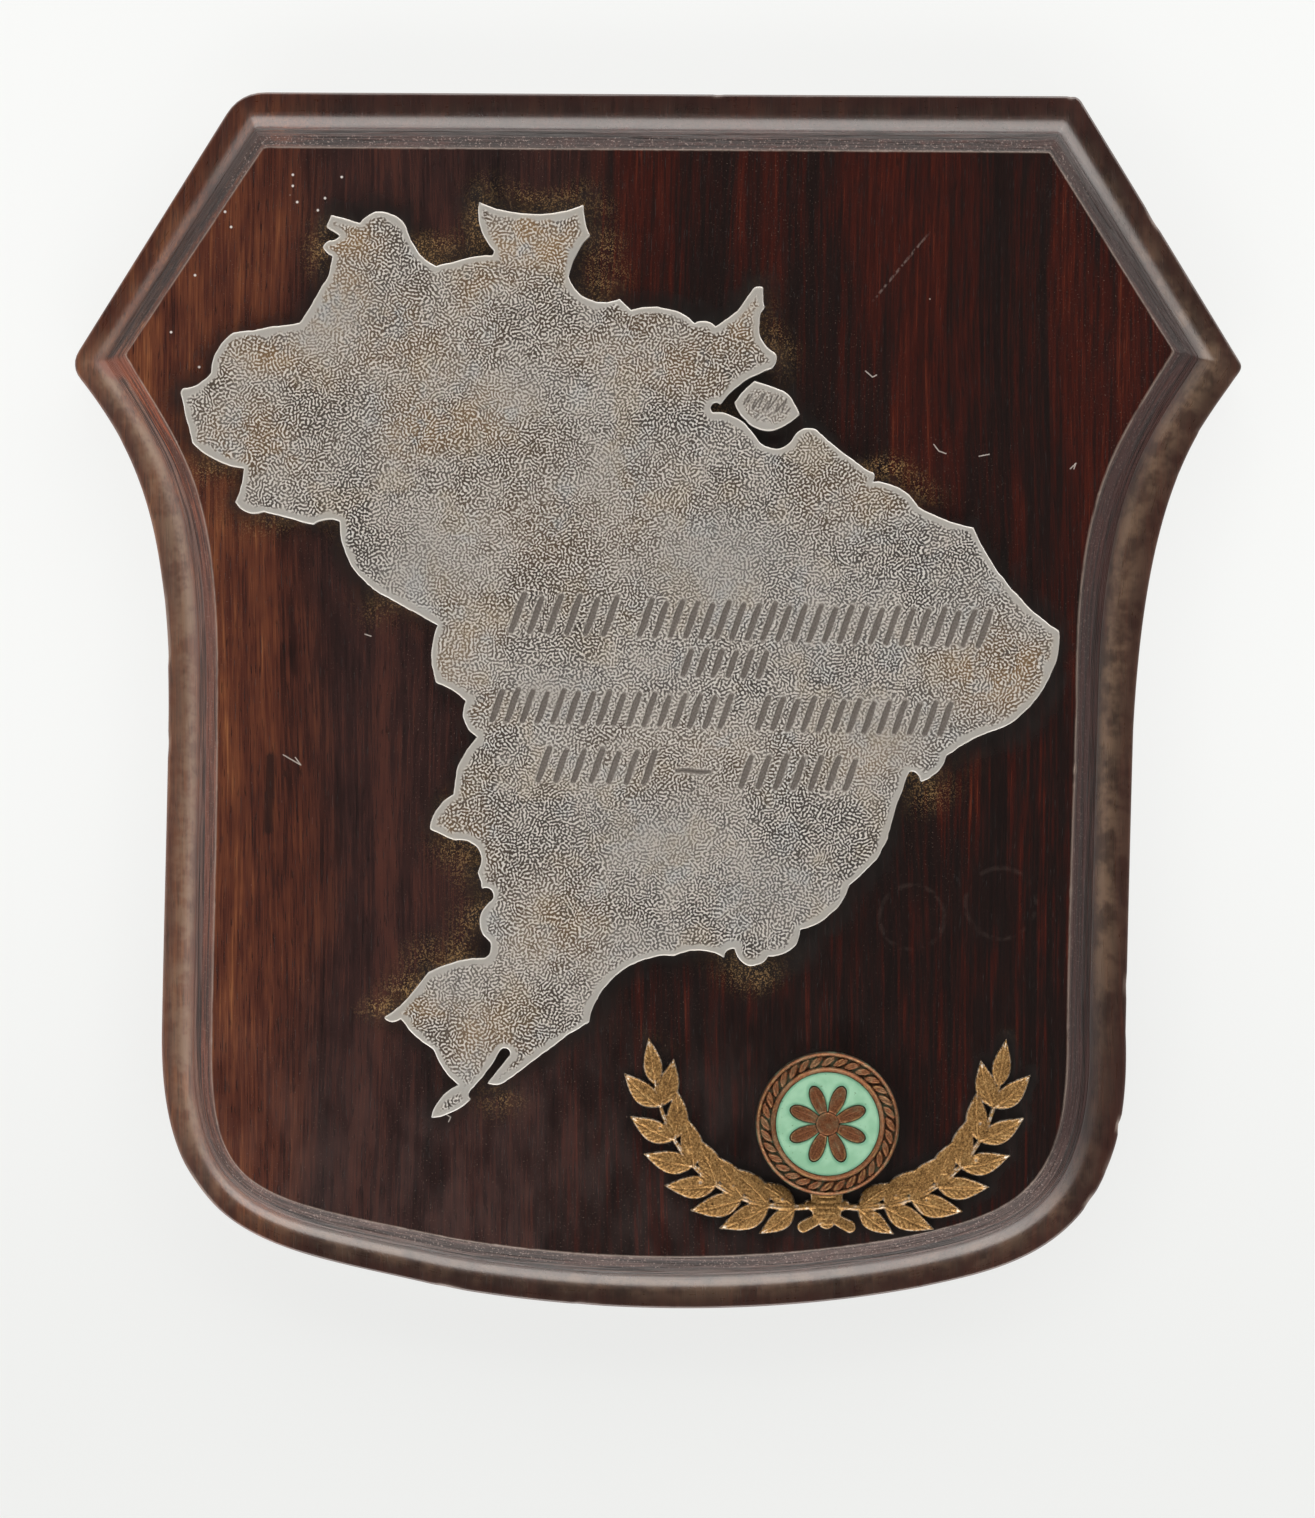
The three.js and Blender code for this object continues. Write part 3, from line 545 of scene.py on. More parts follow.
    # fine parallel tool lines, filmed with grey or brown on the band; on the steep step they are dark, and that dark is
    # partly painted shade
    drift = g.mul(g.noise(g.place(g.mm, (0.06, 0.06, 0.06)), 1, 1), 1.2)
    combed = g.noise(g.join(g.add(g.mul(across, 2.2), drift), g.mul(g.x, 0.05), g.mul(g.z, 0.05)), 1, 2, 0.6)
    step = g.mul(mould, g.span(across, 6.7, 7.0), g.span(across, 8.7, 8.4))
    band = g.mul(mould, g.span(across, 8.3, 8.7))
    top = g.span(g.z, 98.0, 106.0)
    foot = g.span(g.z, -84.0, -98.0)
    # painted light: on the lower left the film is also brightened and reddened for light from the left
    film_and_left_light = g.add(g.mul(left_dust_and_painted_light, 0.78), g.add(g.mul(top, 0.09), g.mul(foot, 0.50)))
    film_and_left_light_tone = g.mix(g.mul(left_dust_and_painted_light, g.sub(1.0, foot)), (0.150, 0.106, 0.096), (0.230, 0.058, 0.025))
    wood = g.mix(g.mul(g.add(band, step), g.span(g.x, 70.0, 84.0), 0.55), wood, (0.036, 0.0078, 0.0056))
    # painted shade: the moulding on both shoulders darkened, the left one more, for weaker light from the upper corners
    shoulder_painted_shade = g.mul(g.span(g.math("ABSOLUTE", g.x), 74.0, 84.0), g.span(g.z, 64.0, 72.0), g.span(g.x, 20.0, -20.0, 0.45, 0.74))
    wood = g.mix(g.mul(shoulder_painted_shade, mould, g.span(across, 5.6, 6.6), g.span(across, 10.4, 9.4)), wood, (0.0090, 0.0060, 0.0055))
    wood = g.mix(g.mul(film_and_left_light, band, g.span(dusty, 0.22, 0.60, 0.45, 1.0), g.span(combed, 0.32, 0.60, 0.45, 1.0)), wood, film_and_left_light_tone)
    wood = g.mix(g.mul(film_and_left_light, step, g.span(combed, 0.42, 0.60), 0.7), wood, (0.150, 0.100, 0.085))
    # dark tool lines on the band, and on the steep step painted shade broken into the same lines
    wood = g.mix(g.mul(g.add(step, g.mul(band, 0.75)), g.span(combed, 0.56, 0.40), 0.82), wood, (0.0070, 0.0045, 0.0042))
    crumbs = g.span(g.noise(g.place(g.mm, (1, 1, 1), (3.0, 8.0, 21.0)), 2.3, 1, 0.7), 0.60, 0.68)
    wood = g.mix(g.mul(crumbs, band, g.add(g.mul(g.add(top, foot), 0.5), 0.15)), wood, (0.26, 0.20, 0.18))
    # redder, undusted wood at the left tip
    tip = g.mul(g.span(g.math("ABSOLUTE", g.sub(g.z, 65.6)), 2.6, 1.1), g.span(g.x, -98.5, -102.0), g.span(across, 4.5, 6.0), mould)
    wood = g.mix(g.mul(tip, 0.70), wood, (0.150, 0.040, 0.020))
    wood = g.mix(g.mul(worn, g.span(dusty, 0.32, 0.52, 0.35, 1.0), 0.72), wood, (0.34, 0.27, 0.225))
    # soot and a painted contact shadow round the metal, brown residue, and a fine sprinkle of dust
    cloud = g.noise(g.place(g.mm, (0.35, 0.35, 0.35)), 1, 3, 0.6)
    reach = g.add(g.add(halo, g.mul(g.sub(cloud, 0.5), 5.0)), g.mul(g.sub(patch, 0.5), 12.0))
    soot_and_contact_shade = g.span(reach, 4.8, -0.6)
    # painted contact shadow mixed with soot: a dark band on the panel round the plates and the spray
    wood = g.mix(g.mul(soot_and_contact_shade, panel, 0.74), wood, (0.0088, 0.0070, 0.0064))
    grit = g.noise(g.mm, 3.3, 1, 0.7)
    wood = g.mix(g.mul(residue, g.span(cloud, 0.38, 0.60), 0.42), wood, (0.085, 0.048, 0.022))
    wood = g.mix(g.mul(g.span(g.add(grit, g.mul(residue, 0.035)), 0.56, 0.62), residue, 0.95), wood, (0.36, 0.225, 0.100))
    sprinkle = g.mul(g.span(g.noise(g.place(g.mm, (1, 1, 1), (40, 0, 9)), 2.9, 1, 0.7), 0.675, 0.72),
                     g.span(patch, 0.36, 0.60, 0.10, 0.60), panel)
    wood = g.mix(sprinkle, wood, (0.135, 0.095, 0.074))
    # single dust specks near the upper left corner, fibres and a pale scuff
    specks = g.mul(g.span(g.nearest(DUST_DOTS), 0.34, 0.14), panel)
    wood = g.mix(g.mul(specks, 0.9), wood, (0.66, 0.63, 0.60))
    wisps = None
    for path in FIBRES:
        d = g.threads(path)
        wisps = d if wisps is None else g.math("MINIMUM", wisps, d)
    wood = g.mix(g.mul(g.span(wisps, 0.17, 0.04), panel, 0.62), wood, (0.56, 0.52, 0.48))
    far, tint = g.cells(g.mm, 0.15)
    chance = g.node("ShaderNodeSeparateColor")
    g.put(chance.inputs[0], tint)
    dots = g.mul(g.span(far, 0.040, 0.020), g.span(chance.outputs[0], 0.86, 0.92), panel)
    wood = g.mix(g.mul(dots, 0.55), wood, (0.45, 0.38, 0.33))
    lean = g.add(g.mul(g.sub(g.x, 47.5), 0.772), g.mul(g.sub(g.z, 86.0), -0.635))
    along = g.add(g.mul(g.sub(g.x, 47.5), 0.635), g.mul(g.sub(g.z, 86.0), 0.772))
    scuff = g.mul(g.span(g.math("ABSOLUTE", lean), 0.35, 0.05), g.span(g.math("ABSOLUTE", along), 9.5, 6.0),
                  g.span(g.noise(g.mm, 1.1, 2), 0.40, 0.58), panel)
    wood = g.mix(g.mul(scuff, 0.45), wood, (0.21, 0.165, 0.15))
    # two faint rings where something round has stood
    for cx, cz, r in ((50.3, -42.9, 6.4), (67.9, -40.0, 7.0)):
        ring = g.mul(g.span(g.math("ABSOLUTE", g.sub(g.gap(cx, cz), r)), 0.7, 0.1), g.span(cloud, 0.42, 0.60), panel)
        wood = g.mix(g.mul(ring, 0.055), wood, (0.20, 0.15, 0.13))
    rough = g.add(g.mul(panel, -0.08), 0.31)
    rough = g.add(rough, g.mul(band, 0.36))
    rough = g.add(rough, g.mul(step, 0.16))
    rough = g.add(rough, g.mul(left_dust_and_painted_light, mould, 0.22))
    rough = g.add(rough, g.mul(g.sub(dusty, 0.5), 0.20))
    rough = g.add(rough, g.mul(g.sub(combed, 0.5), mould, 0.18))
    rough = g.add(rough, g.mul(soot_and_contact_shade, panel, 0.14))
    coat = g.sub(0.55, g.mul(g.span(across, 8.2, 8.7), mould, 0.55))
    coat = g.sub(coat, g.mul(g.span(g.math("ABSOLUTE", g.x), 82.0, 94.0), mould, 0.46))
    coat = g.math("SUBTRACT", coat, g.mul(soot_and_contact_shade, panel, 0.35), clamp=True)
    height = g.sub(g.mul(fibre, 0.35), g.mul(pores, 0.65))
    normal = g.bump(height, 0.030)
    tooth = g.mul(g.add(g.mul(combed, 0.8), g.mul(g.noise(g.place(g.mm, (1.8, 1.8, 1.8)), 1, 2, 0.7), 0.2)),
                  g.add(g.add(band, g.mul(step, 0.6)), g.mul(mould, g.span(across, 4.6, 6.4), 0.25)))
    normal = g.bump(tooth, 0.38, normal)
    return g.finish(Base_Color=wood, Roughness=rough, Normal=normal, IOR=1.5, Coat_Weight=coat, Coat_Roughness=0.13,
                    Coat_IOR=1.5)


def etched(name, grain=1.0):
    g = Graph(name)
    edge, calm, stain, cut = (g.attr(k) for k in ("edge", "calm", "stain", "cut"))
    cloud = g.noise(g.place(g.mm, (0.075, 0.075, 0.075)), 1, 3, 0.6)
    patchy = g.noise(g.place(g.mm, (0.26, 0.26, 0.26), (5.0, 0, 2.0)), 1, 2, 0.6)
    fine = g.noise(g.place(g.mm, (1, 1, 1), (31.0, 4.0, 11.0)), 3.4 * grain, 1, 0.6)
    worm = g.worms(g.add(g.x, g.mul(patchy, 2.0)), g.sub(g.z, g.mul(cloud, 3.0)), 0.69 / grain)
    rim = g.span(g.add(edge, g.mul(g.sub(patchy, 0.5), 2.6)), 1.75, 0.55)
    quiet = g.math("MAXIMUM", calm, rim, clamp=True)
    bite = g.mul(g.sub(1.0, g.mul(quiet, 0.30)), g.span(g.add(cloud, g.mul(g.sub(patchy, 0.5), 0.6)), 0.30, 0.60, 0.72, 1.0))
    bite = g.mul(bite, g.span(rim, 0.25, 0.95, 1.0, 0.06))
    crumb = g.noise(g.place(g.mm, (1, 1, 1), (13.0, 7.0, 5.0)), 1.8 * grain, 1, 0.6)
    level = g.add(g.add(worm, g.mul(g.sub(fine, 0.5), 0.24)), g.add(g.mul(g.sub(crumb, 0.5), 0.42), g.mul(g.sub(bite, 0.85), 0.12)))
    mark = g.span(level, 0.483, 0.510)
    # painted highlight: lighter islands between the dark etched marks, where the relief would catch light
    crest_painted_highlight = g.span(level, 0.465, 0.370)
    # ground: grey-beige, yellower and bluer in places
    ground = g.mix(g.span(patchy, 0.38, 0.62), (0.455, 0.424, 0.386), (0.438, 0.422, 0.398))
    blue = g.span(g.noise(g.place(g.mm, (0.10, 0.10, 0.10), (17.0, 0, 3.0)), 1, 2, 0.6), 0.54, 0.66)
    ground = g.mix(g.mul(blue, 0.60), ground, (0.425, 0.443, 0.448))
    straw = g.span(g.noise(g.place(g.mm, (0.085, 0.085, 0.085), (2.0, 0, 23.0)), 1, 2, 0.6), 0.53, 0.66)
    ground = g.mix(g.mul(straw, 0.42), ground, (0.440, 0.375, 0.275))
    brown = g.math("MULTIPLY", stain, g.span(patchy, 0.28, 0.58), clamp=True)
    ground = g.mix(g.mul(brown, 0.75), ground, g.mix(1.0, ground, (0.98, 0.80, 0.55), "MULTIPLY"))
    metal = g.mix(g.mul(crest_painted_highlight, bite, 0.65), ground, (0.800, 0.778, 0.740))
    dark = g.mix(g.math("MULTIPLY", brown, 1.15, clamp=True), g.mix(straw, (0.027, 0.021, 0.018), (0.054, 0.040, 0.027)), (0.190, 0.112, 0.050))
    metal = g.mix(g.mul(mark, bite, 0.94), metal, dark)
    metal = g.mix(g.mul(calm, 0.18), metal, (0.42, 0.42, 0.41))
    metal = g.mix(g.mul(rim, 0.75), metal, (0.500, 0.490, 0.460))
    # sawn edge: a painted highlight in patches along it
    sawn_edge_highlight = g.mul(g.span(edge, 0.20, 0.04), g.span(patchy, 0.46, 0.62, 0.0, 1.0))
    metal = g.mix(g.mul(sawn_edge_highlight, 0.50), metal, (0.66, 0.67, 0.66))
    # an old scratch near the southern end
    scratch = g.mul(g.span(g.thread((-39.6, -53.6), (-41.9, -67.6)), 0.26, 0.10), g.span(fine, 0.35, 0.55, 0.3, 1.0))
    metal = g.mix(g.mul(scratch, 0.65), metal, (0.10, 0.080, 0.066))
    # engraved strokes: smooth and darker, with a burred outline
    inner = g.span(cut, 0.03, -0.12)
    line = g.mul(g.span(g.math("ABSOLUTE", cut), 0.17, 0.04), g.span(patchy, 0.2, 0.5, 0.45, 1.0))
    around = g.mul(g.span(cut, 0.75, 0.2), g.sub(1.0, inner))
    metal = g.mix(g.mul(around, 0.45), metal, (0.50, 0.475, 0.435))
    metal = g.mix(g.mul(inner, 0.92), metal, g.mix(g.span(fine, 0.4, 0.6), (0.165, 0.146, 0.130), (0.195, 0.174, 0.156)))
    metal = g.mix(g.mul(line, 0.70), metal, (0.060, 0.050, 0.043))
    rough = g.add(g.mul(g.sub(fine, 0.5), 0.20), 0.60)
    rough = g.sub(rough, g.mul(quiet, 0.08))
    normal = g.bump(g.mul(fine, bite, g.sub(1.0, inner)), 0.11)
    normal = g.bump(g.noise(g.mm, 0.9, 2, 0.6), 0.03, normal)
    return g.finish(Base_Color=metal, Roughness=rough, Normal=normal, Metallic=0.66, IOR=1.5)


def gilt():
    g = Graph("gilt_metal")
    hollow, ridge = g.attr("hollow"), g.attr("ridge")
    grain = g.noise(g.mm, 2.9, 2, 0.75)
    cloud = g.noise(g.mm, 0.35, 3, 0.6)
    gold = g.ramp(g.add(g.mul(grain, 0.8), g.mul(cloud, 0.2)),
                  [(0.34, (0.085, 0.042, 0.014)), (0.46, (0.250, 0.135, 0.045)), (0.56, (0.375, 0.215, 0.075)), (0.68, (0.56, 0.37, 0.165))])
    gold = g.mix(g.mul(g.span(hollow, 0.12, 0.75), g.span(grain, 0.30, 0.6, 0.65, 1.0)), gold, (0.028, 0.019, 0.012))
    green = g.mul(g.span(cloud, 0.56, 0.68), g.span(hollow, 0.0, 0.5, 0.25, 1.0))
    gold = g.mix(g.mul(green, 0.38), gold, (0.085, 0.105, 0.060))
    bare = g.mul(g.span(ridge, 0.25, 0.75), g.span(g.noise(g.mm, 1.3, 3, 0.6), 0.44, 0.56))
    gold = g.mix(g.mul(bare, 0.85), gold, (0.72, 0.66, 0.56))
    rough = g.add(g.mul(grain, 0.30), 0.36)
    rough = g.sub(rough, g.mul(bare, 0.16))
    normal = g.bump(grain, 0.045)
    return g.finish(Base_Color=gold, Roughness=rough, Normal=normal, Metallic=0.78)


def copper():
    g = Graph("copper")
    hollow, ridge = g.attr("hollow"), g.attr("ridge")
    grain = g.noise(g.mm, 3.0, 3, 0.7)
    cloud = g.noise(g.place(g.mm, (1, 1, 1), (9, 0, 4)), 0.42, 3, 0.65)
    metal = g.ramp(g.add(g.mul(grain, 0.6), g.mul(cloud, 0.4)),
                   [(0.32, (0.050, 0.020, 0.010)), (0.46, (0.160, 0.058, 0.024)), (0.58, (0.250, 0.102, 0.043)), (0.70, (0.44, 0.26, 0.13))])
    metal = g.mix(g.mul(g.span(hollow, 0.05, 0.45), 0.92), metal, (0.026, 0.022, 0.015))
    green = g.mul(g.span(cloud, 0.47, 0.60), g.span(hollow, 0.0, 0.40, 0.35, 1.0))
    metal = g.mix(g.mul(green, 0.74), metal, (0.112, 0.150, 0.096))
    golden = g.mul(g.span(cloud, 0.48, 0.36), g.span(ridge, 0.0, 0.4))
    metal = g.mix(g.mul(golden, 0.60), metal, (0.42, 0.27, 0.11))
    bare = g.mul(g.span(ridge, 0.25, 0.75), g.span(g.noise(g.mm, 1.6, 3, 0.6), 0.40, 0.55))
    metal = g.mix(g.mul(bare, 0.70), metal, (0.62, 0.42, 0.28))
    rough = g.add(g.mul(grain, 0.32), 0.34)
    normal = g.bump(grain, 0.05)
    return g.finish(Base_Color=metal, Roughness=rough, Normal=normal, Metallic=0.75)


def enamel():
    g = Graph("mint_enamel")
    rim = g.attr("rim")
    cloud = g.noise(g.mm, 0.30, 2, 0.5)
    grain = g.noise(g.mm, 2.1, 2, 0.5)
    body = g.mix(g.span(cloud, 0.35, 0.65), (0.235, 0.450, 0.300), (0.300, 0.530, 0.370))
    body = g.mix(g.mul(g.span(rim, 0.5, 0.05), 0.45), body, (0.075, 0.270, 0.165))
    pits = g.span(g.noise(g.mm, 1.4, 2, 0.6), 0.68, 0.74)
    body = g.mix(g.mul(pits, 0.6), body, (0.06, 0.09, 0.05))
    rough = g.add(g.mul(grain, 0.18), 0.10)
    normal = g.bump(g.noise(g.mm, 0.5, 1), 0.03)
    return g.finish(Base_Color=body, Roughness=rough, Normal=normal, IOR=1.52, Coat_Weight=0.4, Coat_Roughness=0.06)


# --------------------------------------------------------------- the outlines

OUTLINE = {
    "topLeft": (-84.4, 121.4), "topRight": (83.3, 121.3), "tipRight": (116.5, 67.3), "tipLeft": (-118.3, 66.5),
    "waistRight": (94.9, -5.5), "waistLeft": (-98.2, -3.0), "lowRight": (93.65, -66), "lowLeft": (-99.25, -66),
    "footRight": (52.7, -117.2), "footLeft": (-43.3, -117.4),
    "flareRight": ((109.3, 56.1), (97.4, 46.6)), "wallRight": ((94.5, -22), (94.0, -46)),
    "cornerRight": ((95.7, -109.2), (71.1, -113.1)), "foot": ((11.3, -125.2), (-26.6, -120.5)),
    "cornerLeft": ((-75.0, -109.8), (-100.0, -110.2)), "wallLeft": ((-99.0, -46), (-98.4, -24)),
    "flareLeft": ((-98.2, 32.4), (-103.2, 48.7)),
    "round": {"topLeft": 5.2, "topRight": 1.4, "tipRight": 1.2, "tipLeft": 3.6},
}
PANEL = {
    "topLeft": (-78.9, 109.2), "topRight": (76.9, 108.9), "tipRight": (101.6, 69.6), "tipLeft": (-106.1, 68.0),
    "waistRight": (82.7, 0.4), "waistLeft": (-87.6, -0.4), "lowRight": (81.2, -65.1), "lowLeft": (-88.4, -65.8),
    "footRight": (48.2, -106.4), "footLeft": (-41.0, -106.8),
    "flareRight": ((90.1, 50.6), (82.3, 42)), "wallRight": ((82.2, -20), (81.3, -45)),
    "cornerRight": ((81.8, -97), (72, -101.5)), "foot": ((20, -111.6), (-12, -111.6)),
    "cornerLeft": ((-81.7, -98.5), (-89.0, -99.1)), "wallLeft": ((-88.1, -45), (-87.4, -20)),
    "flareLeft": ((-87.2, 43), (-94.5, 48.2)),
    "round": {"topLeft": 1.6, "topRight": 0.8, "tipRight": 0.8, "tipLeft": 2.2},
}
STRETCHES = [
    ("topLeft", "topRight", None, 200), ("topRight", "tipRight", None, 76), ("tipRight", "waistRight", "flareRight", 92),
    ("waistRight", "lowRight", "wallRight", 72), ("lowRight", "footRight", "cornerRight", 90),
    ("footRight", "footLeft", "foot", 116), ("footLeft", "lowLeft", "cornerLeft", 90),
    ("lowLeft", "waistLeft", "wallLeft", 72), ("waistLeft", "tipLeft", "flareLeft", 92), ("tipLeft", "topLeft", None, 76),
]
ROUND_STEPS = 6


def between(f, sharp):
    """The control table of a contour f of the way from the outline to the panel."""
    out = {}
    for k, v in OUTLINE.items():
        if k == "round":
            out[k] = {c: lerp(v[c], min(PANEL[k][c], 0.5), sharp) for c in v}
        else:
            out[k] = lerp(np.array(v, float), np.array(PANEL[k], float), f)
    return out


def shield_ring(o):
    """Points of one shield contour, clockwise seen from the front."""
    made = []
    for a, b, pull, n in STRETCHES:
        if pull:
            f = lambda t, a=a, b=b, pull=pull: bezier(o[a], o[pull][0], o[pull][1], o[b], t)
        else:
            f = lambda t, a=a, b=b: bezier(o[a], lerp(np.array(o[a]), np.array(o[b]), 1 / 3),
                                           lerp(np.array(o[a]), np.array(o[b]), 2 / 3), o[b], t)
        made.append((f, n, o["round"].get(a, 0), o["round"].get(b, 0)))

    def share(f, d, end):
        if d <= 0:
            return 0.0
        t = np.linspace(0, 1, 4001)
        p = f(1 - t if end else t)
        return t[np.argmax(np.hypot(*(p - p[0]).T) >= d)]

    ring = []
    for i, (f, n, r0, r1) in enumerate(made):
        t0, t1 = share(f, r0, False), 1 - share(f, r1, True)
        ring.append(f(t0 + (t1 - t0) * np.arange(n + (1 if r1 > 0 else 0)) / n))
        if r1 > 0:
            g = made[(i + 1) % len(made)]
            a, c, b = f(t1), f(1.0), g[0](share(g[0], g[2], False))
            t = (np.arange(1, ROUND_STEPS) / ROUND_STEPS)[:, None]
            ring.append((1 - t) ** 2 * a + 2 * (1 - t) * t * c + t * t * b)
    return np.vstack(ring)


COAST = [
    (-93.9, 61.2, 0.52), (-88.9, 64.4, -0.23), (-84.5, 72.2, 0.26), (-71.4, 74.2, 0), (-66.4, 82.5, 0), (-65.0, 87.6, -0.1),
    (-66.8, 89.2, 0.2), (-65.5, 90.6, 0.25), (-63.6, 91.5, -0.2), (-66.4, 93.3, 0), (-65.3, 95.7, 0), (-59.6, 94.0, 0), (-50.5, 93.3, 0.58),
    (-44.5, 85.4, -0.21), (-33.4, 87.7, 0.09), (-33.0, 88.9, -0.29),
    (-36.0, 98.3, 0.28), (-15.4, 97.8, -0.19), (-14.2, 91.9, -0.12), (-18.3, 83.8, -0.17),
    (-8.2, 79.4, -0.5), (-5.9, 77.0, -0.05), (6.7, 74.6, 0.27), (10.8, 73.9, 0.36),
    (18.1, 81.1, -0.13), (20.2, 81.6, 0.38), (20.5, 77.7, -0.07), (22.6, 68.5, -0.44),
    (22.0, 65.7, 0.3), (11.8, 58.5, -0.17), (10.4, 57.0, -1.05), (19.2, 51.8, 0.24), (26.3, 51.9, -0.61),
    (30.9, 53.5, 0.45), (42.2, 45.0, -0.05), (41.8, 43.1, 0.21), (50.9, 38.4, 0.33), (62.0, 34.4, -0.08),
    (79.0, 13.9, -0.14), (67.0, -5.6, 0.3), (56.9, -10.8, -0.08), (51.9, -15.8, 0.26), (49.6, -14.1, -0.47),
    (45.4, -27.2, -0.06), (37.8, -36.4, 0.13), (28.1, -45.4, 0.28), (21.7, -50.5, 0.45),
    (15.2, -49.2, 0.81), (13.0, -50.8, -0.53), (3.3, -50.7, -0.26), (-13.7, -63.8, -0.38),
    (-29.3, -75.2, -0.04), (-35.1, -75.0, 0.41), (-44.7, -82.8, 0.35), (-39.4, -76.4, 0.25), (-44.4, -69.4, 0.15),
    (-50.9, -63.4, 0.07), (-54.0, -63.1, 0.41), (-45.5, -54.1, -0.09), (-34.3, -51.3, 0.11), (-33.3, -47.9, -0.35),
    (-33.1, -39.9, 0.51), (-35.0, -37.6, -0.95), (-35.7, -34.3, -0.13), (-40.1, -27.8, -0.65), (-45.1, -25.7, 0.07),
    (-40.6, -18.9, 0.29), (-36.0, -7.5, 0.2), (-38.3, -0.4, 0.4), (-44.1, 3.3, -0.09), (-44.0, 14.5, 0.19),
    (-54.1, 20.3, 0), (-63.3, 35.0, 0.3), (-68.6, 34.4, -0.25), (-78.4, 36.9, 0), (-84.1, 38.8, 0.41),
    (-82.4, 45.4, -0.08), (-92.5, 50.5, 0.18), (-94.9, 59.8, 0),
]
ISLAND = [(18.6, 63.1, 0.1), (24.4, 61.1, 0.04), (26.4, 58.8, 0.16), (27.5, 56.6, 0.1), (25.0, 54.7, 0.06),
          (22.9, 53.6, 0.1), (19.2, 53.8, 0.2), (16.9, 55.4, 0.16), (14.7, 58.9, 0.16)]


def arc_ring(marks, step=0.3):
    """A closed chain of shallow arcs. swell is the sagitta over half the chord."""
    ring = []
    for i, (x, z, swell) in enumerate(marks):
        px, pz, _ = marks[i - 1]
        chord = math.hypot(x - px, z - pz)
        n = max(2, round(chord * (1 + 0.6 * abs(swell)) / step))
        k = np.arange(1, n + 1) / n
        s, h = k * chord, np.zeros(n)
        sag = swell * chord / 2
        if abs(sag) > 1e-6:
            r = (chord * chord / 4 + sag * sag) / (2 * sag)
            half = 2 * math.atan(swell)
            a = lerp(-half, half, k)
            s, h = chord / 2 + r * np.sin(a), sag - r + r * np.cos(a)
        ux, uz = (x - px) / chord, (z - pz) / chord
        ring.append(np.stack([px + ux * s - uz * h, pz + uz * s + ux * h], 1))
    return np.vstack(ring)


def signed_grid(ring, step, margin=1.5, reach=None):
    lo, hi = ring.min(0) - margin, ring.max(0) + margin
    xs, zs = axis(lo[0], hi[0], step), axis(lo[1], hi[1], step)
    X, Z = np.meshgrid(xs, zs, indexing="ij")
    inside = inside_grid(xs + 1e-7, zs + 1e-7, ring)
    d = ring_distance(np.stack([X.ravel(), Z.ravel()], 1), ring).reshape(X.shape)
    return np.where(inside, -d, d), xs, zs, X, Z


# ------------------------------------------------------------- the laurel spray

